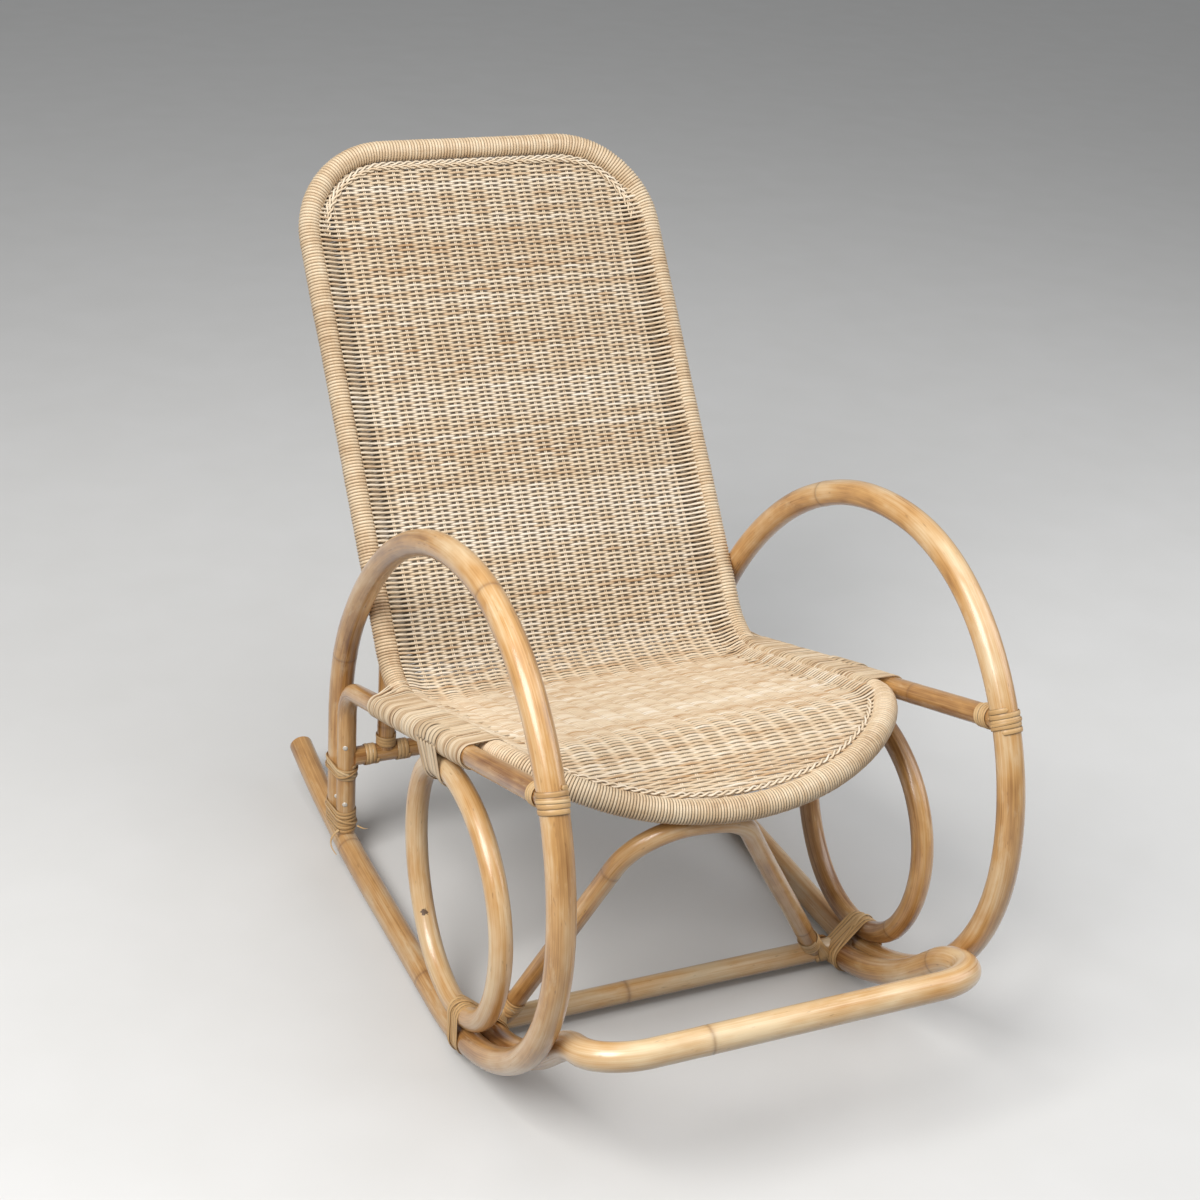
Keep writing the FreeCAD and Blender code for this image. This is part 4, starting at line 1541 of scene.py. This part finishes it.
@dataclass
class Wings:
    """The ends of the weft, laid over the rim and round the rails, with strips that hold the hoops."""

    sizes: ChairSizes = SIZES
    strand_pitch: float = 0.0043
    rear_y: float = 0.088
    front_y: float = -0.262
    hoop_top_y: float = SideFrame.hoop_top_y
    hoop_drop: float = SideFrame.rail_to_hoop
    hoop_bend: float = 0.17
    strips: int = 6
    strip_pitch: float = 0.0126
    strip_half: float = 0.0057
    strand_lift: float = 0.0011
    strand_thick: float = 0.0013
    rim_wrap: float = 0.0012
    rail_cover: float = 0.0026
    arcs: tuple[tuple[int, int, int], ...] = ((150, 90, 12), (90, -90, 40), (-90, -150, 12))
    count: int = 84

    def strand_line(self, lift: float, tail: float) -> tuple[Array, Array]:
        """One strand in the plane across a rail.

        Args:
            lift: Height of the strand over the rim and the rail.
            tail: How far it lies on the weave inside the rim.

        Returns:
            Points, outward from the rail's middle and up from it, and the directions that they face.
        """
        s = self.sizes
        reach = s.half_gauge - s.rim_x
        rim, rail = s.rim_r + self.rim_wrap + lift, s.rail_r + lift
        turns = np.radians(np.concatenate([np.linspace(*arc) for arc in self.arcs]))
        out = np.stack([np.cos(turns), np.sin(turns)], axis=1)
        on_rim = np.repeat([True, False, True], [arc[2] for arc in self.arcs])
        centres = np.where(on_rim[:, None], [[-reach, 0.0]], [[0.0, 0.0]])
        over = [[-reach - 0.020 - tail, 0.0036], [-reach - 0.019, 0.0050]]
        under = [[-reach - 0.019, -0.0044], [-reach - 0.026, -0.0026]]
        points = np.vstack([over, centres + out * np.where(on_rim, rim, rail)[:, None], under])
        return points, np.vstack([[[-0.1, 1.0], [-0.45, 0.9]], out, [[-0.45, -0.9], [-0.1, -1.0]]])

    def in_chair(self, base: Array, flat: Array, face: Array, along: Array, sign: int) -> tuple[Array, Array]:
        """Moves a line across a rail to its place in the chair.

        Args:
            base: Point on the seat line, in the middle of the chair.
            flat: Points outward from the rail's middle and up from it.
            face: The directions that they face.
            along: How far each point lies to the front.
            sign: 1 for the right side, -1 for the left.

        Returns:
            The points and the directions in the chair.
        """
        s = self.sizes
        points = base + flat[:, 1:] * s.seat_up + np.asarray(along)[:, None] * s.seat_front
        points[:, 0] = s.half_gauge + flat[:, 0]
        facing = face[:, 1:] * s.seat_up
        facing[:, 0] = face[:, 0]
        return (points, facing) if sign > 0 else (mirrored(points), mirrored(facing))

    def strand(self, rng: np.random.Generator, start: float, sign: int) -> Run:
        """Lays a strand of the wing over the rim and round the rail.

        Args:
            rng: Seeded generator.
            start: Length along the rail from the wing's rear end.
            sign: 1 for the right side, -1 for the left.

        Returns:
            The strand.
        """
        s = self.sizes
        flat, face = self.strand_line(self.strand_lift + rng.uniform(0, 0.0009), rng.uniform(0.004, 0.026))
        runs = runs_of(flat)
        at = np.linspace(0, runs[-1], self.count)
        flat, face = columns_at(at, runs, flat), columns_at(at, runs, face)
        face /= np.linalg.norm(face, axis=1, keepdims=True)
        drift = 0.0022 * wander(rng, at, 0.05) + rng.uniform(-0.0006, 0.0006)
        base = np.array([0, self.rear_y, s.seat_z(self.rear_y)]) + s.seat_front * start
        behind = max(0.0, float((s.folds()[0] - base).dot(s.seat_front)))
        rise = s.seat_bend_r - math.sqrt(s.seat_bend_r ** 2 - behind ** 2)
        flat[:, 1] += rise * np.clip(flat[:, 0] / (s.rim_x - s.half_gauge), 0, 1)
        points, facing = self.in_chair(base, flat, face, drift, sign)
        tone = 0.48 + rng.uniform(-0.24, 0.24) + 0.12 * wander(rng, at, 0.03)
        return closed_run(rng, points, facing, rng.uniform(0.0018, 0.0022), self.strand_thick, tone)

    def hoop_strip(self, rng: np.random.Generator, along: float, sign: int) -> Run:
        """Winds a flat strip round the rail and the top of the hoop.

        Args:
            rng: Seeded generator.
            along: Distance to the front from the hoop's top.
            sign: 1 for the right side, -1 for the left.

        Returns:
            The strip.
        """
        s = self.sizes
        deep = self.hoop_drop + along ** 2 / self.hoop_bend
        parts = np.linspace(0, 1, self.count)
        circles = [(0, 0, s.rail_r + self.rail_cover), (0, -deep, s.hoop_r)]
        flat, face = belt(circles, self.strand_lift, parts)
        base = np.array([0, self.hoop_top_y, s.seat_z(self.hoop_top_y)])
        splay = 0.35 * flat[:, 1] * (1 if along < 0 else 0.4)
        lean = along - splay + 0.0008 * wander(rng, parts, 0.2)
        points, facing = self.in_chair(base, flat, face, lean, sign)
        tone = 0.45 + rng.uniform(-0.16, 0.16)
        return closed_run(rng, points, facing, self.strip_half, self.strand_thick, tone)

    def build(self, dresser: Dresser) -> None:
        """Makes both wings.

        Args:
            dresser: Gives the finish.
        """
        length = (self.rear_y - self.front_y) / cos_deg(self.sizes.seat_rise)
        for side, sign in (("right", 1), ("left", -1)):
            rng = np.random.default_rng(20 + sign)
            piece = Rolled(f"{side}_wing_strands", 6)
            for start in np.arange(0, length, self.strand_pitch):
                piece.add(self.strand(rng, start, sign))
            for k in range(self.strips):
                piece.add(self.hoop_strip(rng, (k - (self.strips - 1) / 2) * self.strip_pitch, sign))
            dresser.dress(piece.build(80.0), Finish.WING, "cane_weave", f"{side}_seat_wing")


@dataclass
class Lashings:
    """The cane lashings at the joints, and the nails that hold their ends."""

    sizes: ChairSizes = SIZES
    count: int = 220
    end_facing: Triple = (0.3, -0.6, 0.7)
    nail_r: float = 0.0040
    nail_flat: float = 0.62
    nails: tuple[tuple[Triple, Triple], ...] = (
        ((0.3060, 0.2110, 0.186), (0.43, -0.90, 0.0)),
        ((0.2650, 0.2130, 0.1730), (0.0, -0.71, 0.71)),
        ((0.3085, 0.2400, 0.088), (0.50, -0.86, 0.0)),
        ((0.3055, 0.2106, 0.090), (0.40, -0.92, 0.0)),
    )

    def lash(self, dresser: Dresser, name: str, node: str, windings: Sequence[Winding], seed: int,
             mirror: bool = True, ends: Sequence[Sequence[Sequence[float]]] = ()) -> None:
        """Winds the strips of a group of lashings.

        Args:
            dresser: Gives the finish.
            name: The piece's name.
            node: The CAD node that it replaces.
            windings: Strips on the right-hand side.
            seed: Start of the random values.
            mirror: Whether the left-hand side has the same strips.
            ends: Points of loose ends.
        """
        rng = np.random.default_rng(seed)
        piece = Rolled(name, 6)
        for winding in windings:
            for flip in (False, True) if mirror else (False,):
                run = winding.run(rng, self.count)
                if flip:
                    run.centre, run.facing = mirrored(run.centre), mirrored(run.facing)
                piece.add(run)
        for points in ends:
            piece.add(loose_end(points, self.end_facing, rng, self.count))
        dresser.dress(piece.build(60.0), Finish.LASHING, "cane_lashing", node)

    def middle(self, node: str) -> Array:
        """Middle of a node's box."""
        low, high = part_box(node)
        return (np.array(low) + np.array(high)) / 2

    def at_posts(self, dresser: Dresser) -> None:
        """Winds the lashings where the rails meet the posts.

        Args:
            dresser: Gives the finish.
        """
        s, side = self.sizes, SideFrame("right")
        joint, line = side.joint(), side.post_line()
        lean = tangents(line)[np.argmin(np.abs(line[:, 2] - joint[2]))]
        ring = [(0, 0, s.side_r)]
        self.lash(dresser, "post_bindings", "post_lashings", [
            Winding(joint, lean, RIGHT, ring, 4.1, 0.0066, wide=0.0033, thick=0.0008, phase=0.6),
            Winding(joint, lean, RIGHT, ring, 1.0, 0.009, wide=0.0022, thick=0.0006, lift=0.0020, phase=0.4),
        ], 30)
        y = float(self.middle("rail_lashings")[1]) + 0.002
        at = (s.half_gauge, y, s.seat_z(y))
        self.lash(dresser, "rail_end_bindings", "rail_lashings", [
            Winding(at, s.seat_front, RIGHT, [(0, 0, s.rail_r)], 4.6, 0.0048, wide=0.0024),
        ], 31)

    def at_legs(self, dresser: Dresser) -> None:
        """Winds the lashings round the rear legs, the rear posts and the feet of the brace.

        Args:
            dresser: Gives the finish.
        """
        s = self.sizes
        pair = [(0, 0, s.rail_r), (0, s.rear_post_y - s.leg_y, s.side_r)]
        at = (s.half_gauge, s.leg_y, float(self.middle("upper_leg_lashings")[2]))
        self.lash(dresser, "upper_leg_bindings", "upper_leg_lashings", [
            Winding(at, UP, RIGHT, pair, 3.4, 0.0064),
            Winding(at, UP, RIGHT, pair, 1.2, 0.002, slant=0.40, lift=0.0024, wide=0.0022),
            Winding(at, UP, RIGHT, pair, 1.2, 0.002, slant=-0.35, lift=0.0030, wide=0.0022),
        ], 32)
        at = (s.half_gauge, s.leg_y, float(self.middle("lower_leg_lashings")[2]) + 0.004)
        self.lash(dresser, "lower_leg_bindings", "lower_leg_lashings", [
            Winding(at, UP, RIGHT, pair, 6.1, 0.0060, slant=-0.12),
            Winding(at, UP, RIGHT, pair, 1.1, 0.002, slant=0.30, lift=0.0026, wide=0.0022),
        ], 33, ends=[
            ((-0.3135, 0.2130, 0.046), (-0.3290, 0.2020, 0.036), (-0.3270, 0.1800, 0.026)),
            ((-0.2860, 0.2110, 0.050), (-0.2790, 0.2000, 0.050), (-0.2740, 0.1900, 0.056)),
        ])
        foot_x = CrossMembers.brace_half
        at = (foot_x, s.leg_y, float(self.middle("brace_lashings")[2]))
        windings = [Winding(at, UP, RIGHT, [(0, 0, s.brace_r)], 3.4, 0.0052)]
        for x in (foot_x - 0.024, foot_x + 0.025):
            at = (x, s.leg_y, s.crossbar_z)
            windings.append(Winding(at, RIGHT, UP, [(0, 0, s.crossbar_r)], 3.6, 0.0052))
        self.lash(dresser, "brace_foot_bindings", "brace_lashings", windings, 37)

    def at_hoops(self, dresser: Dresser) -> None:
        """Winds the lashings that hold the feet of the hoops and the arms of the foot bar.

        Args:
            dresser: Gives the finish.
        """
        s, side = self.sizes, SideFrame("right")
        y = float(self.middle("hoop_foot_lashings")[1])
        angle = math.degrees(math.asin((side.flat_front_y - y) / side.curve_low_r))
        py, pz, dy, dz = side.on_front_curve(angle, 0)
        trio = [(0, 0, s.side_r), (0, s.side_r + s.hoop_r + 0.0016, s.hoop_r),
                (-s.side_r - s.foot_r - s.gap, 0, s.foot_r)]
        at, way = (s.half_gauge, py, pz), (0, dy, dz)
        self.lash(dresser, "hoop_foot_bindings", "hoop_foot_lashings", [
            Winding(at, way, RIGHT, trio, 6.6, 0.0062, wide=0.0031, slant=0.10),
            Winding(at, way, RIGHT, trio, 1.1, 0.0040, wide=0.0026, lift=0.0026, slant=-0.25),
        ], 35)

    def at_arch(self, dresser: Dresser) -> None:
        """Winds rings round the feet of the arch, and a fan from each to the stretcher.

        Args:
            dresser: Gives the finish.
        """
        s, cross = self.sizes, CrossMembers()
        base, up, _ = cross.arch_frame()
        windings = []
        duo = [(0, 0, s.stretcher_r), (0.026, 0, 0.006)]
        for foot_x, lean, out in ((cross.arch_left[0], cross.arch_left[1], -1),
                                  (cross.arch_right[0], -cross.arch_right[1], 1)):
            slope = math.tan(math.radians(lean))
            leg = np.array([sin_deg(lean), 0, 0]) + up * cos_deg(lean)
            foot = base + np.array([foot_x, 0, 0]) + up * cross.arch_foot
            windings.append(Winding(foot + leg * 0.027, leg, RIGHT, [(0, 0, s.arch_r)], 4.6, 0.0052))
            fan = base + np.array([foot_x + out * 0.0125 - cross.arch_foot * slope, 0, 0])
            windings.append(Winding(fan, RIGHT, up, duo, 4.6, 0.0062, lift=0.0014, slant=slope, gather=0.85))
        ends = [((-0.238, -0.294, 0.062), (-0.243, -0.304, 0.072), (-0.255, -0.309, 0.086))]
        self.lash(dresser, "arch_foot_bindings", "arch_lashings", windings, 36, False, ends)

    def nail_heads(self, dresser: Dresser) -> None:
        """Makes small domed nail heads on the rear legs and the crossbar.

        Args:
            dresser: Gives the finish.
        """
        heads = []
        for place, out in self.nails:
            for sign in (1, -1):
                bpy.ops.object.select_all(action="DESELECT")
                bpy.ops.mesh.primitive_uv_sphere_add(segments=12, ring_count=8, radius=self.nail_r)
                head = bpy.context.object
                normal = unit(out) * np.array([sign, 1, 1])
                centre = np.array(place) * np.array([sign, 1, 1])
                for vertex in head.data.vertices:
                    co = np.array(vertex.co)
                    vertex.co = centre + co - normal * co.dot(normal) * self.nail_flat
                heads.append(head)
        for head in heads:
            head.select_set(True)
        bpy.context.view_layer.objects.active = heads[0]
        bpy.ops.object.join()
        made = bpy.context.object
        made.name = made.data.name = "nail_heads"
        bpy.ops.object.shade_smooth()
        dresser.dress(made, Finish.NAIL, "cane_lashing")

    def build(self, dresser: Dresser) -> None:
        """Makes every lashing."""
        for make in (self.at_posts, self.at_legs, self.at_hoops, self.at_arch, self.nail_heads):
            make(dresser)


# Stage

@dataclass
class Studio:
    """Pale floor, soft light and the camera of the photograph."""

    camera_place: Triple = (-1.1348, -2.3048, 1.7556)
    camera_right: Triple = (0.91178, -0.40506, 0.06778)
    camera_up: Triple = (0.12495, 0.43081, 0.89375)
    lens: float = 63.0
    sensor: float = 36.0
    far: float = 60.0
    floor_size: float = 60.0
    floor_z: float = -0.0005
    floor_tones: tuple[Colour, Colour] = ((212, 211, 208), (218, 217, 215))
    floor_glow: Colour = (120, 120, 122)
    world_colour: tuple[float, float, float, float] = (0.95, 0.97, 1.0, 1.0)
    world_strength: float = 0.32
    aim: Triple = (0.0, 0.0, 0.4)
    lamps: tuple[tuple[str, Triple, float, float, Triple], ...] = (
        ("key_light", (-2.3, -1.2, 3.0), 2.0, 124.0, (1.0, 0.99, 0.98)),
        ("sky_light", (0.3, -0.8, 4.2), 3.6, 48.0, (0.97, 0.98, 1.0)),
        ("fill_light", (2.6, -1.2, 2.2), 2.4, 42.0, (0.95, 0.97, 1.0)),
    )

    def floor(self) -> None:
        """A wide pale floor that is darker for light that only bounces off it."""
        graph = Graph("pale_floor")
        place = graph.node("ShaderNodeTexCoord", {}, {}, "Object")
        grain = graph.noise(graph.stretched(place, (7, 7, 7)), 3.0)
        colour = graph.mix(grain, *(linear(*tone) for tone in self.floor_tones))
        seen, shiny, through = (graph.node("ShaderNodeLightPath", {}, {}, f"Is {kind} Ray")
                                for kind in ("Camera", "Glossy", "Transmission"))
        pale = graph.node("ShaderNodeBsdfDiffuse", {}, {"Color": colour})
        dull = graph.node("ShaderNodeBsdfDiffuse", {}, {"Color": linear(*self.floor_glow)})
        in_sight = (seen + shiny + through).clipped()
        graph.node_output(graph.node("ShaderNodeMixShader", {}, {0: in_sight, 1: dull, 2: pale}))
        bpy.ops.object.select_all(action="DESELECT")
        bpy.ops.mesh.primitive_plane_add(size=self.floor_size, location=(0.0, 0.0, self.floor_z))
        made = bpy.context.object
        made.name = "studio_floor"
        made.data.materials.append(graph.material)

    def hang(self, name: str, data: bpy.types.ID, axes: Sequence[Array],
             place: Sequence[float]) -> bpy.types.Object:
        """Puts a lamp or a camera in its place.

        Args:
            name: The object's name.
            data: The lamp or the camera.
            axes: Directions to its right, up and back.
            place: Where it hangs.

        Returns:
            The object.
        """
        made = bpy.data.objects.new(name, data)
        turn = Matrix(np.stack(axes, axis=1).tolist()).to_4x4()
        turn.translation = place
        made.matrix_world = turn
        bpy.context.scene.collection.objects.link(made)
        return made

    def lamp(self, name: str, place: Triple, size: float, power: float, colour: Triple) -> None:
        """A square soft lamp that points at the chair.

        Args:
            name: The lamp's name.
            place: Where it hangs.
            size: Its width.
            power: Its power in watts.
            colour: Its colour.
        """
        data = bpy.data.lights.new(name, "AREA")
        data.size = size
        data.energy = power
        data.color = colour
        away = unit(np.array(place) - np.array(self.aim))
        across = unit(np.cross(UP, away))
        self.hang(name, data, (across, np.cross(away, across), away), place)

    def camera(self) -> None:
        """The camera at the photograph's place."""
        data = bpy.data.cameras.new("photo_camera")
        data.lens = self.lens
        data.sensor_width = self.sensor
        data.clip_end = self.far
        right, up = np.array(self.camera_right), np.array(self.camera_up)
        axes = (right, up, np.cross(right, up))
        bpy.context.scene.camera = self.hang("photo_camera", data, axes, self.camera_place)

    def build(self) -> None:
        """Sets up the stage."""
        self.floor()
        world = bpy.data.worlds.new("soft_room")
        world.use_nodes = True
        background = world.node_tree.nodes["Background"].inputs
        background["Color"].default_value = self.world_colour
        background["Strength"].default_value = self.world_strength
        bpy.context.scene.world = world
        for lamp in self.lamps:
            self.lamp(*lamp)
        self.camera()
        bpy.context.scene.view_settings.view_transform = "Standard"


def main() -> None:
    """Builds the chair and its stage."""
    logging.basicConfig(level=logging.INFO, format="%(message)s")
    dresser = Dresser()
    for side in ("right", "left"):
        SideFrame(side).build(dresser)
    CrossMembers().build(dresser)
    Shell().build(dresser)
    Wings().build(dresser)
    Lashings().build(dresser)
    Studio().build()


if __name__ == "__main__":
    main()
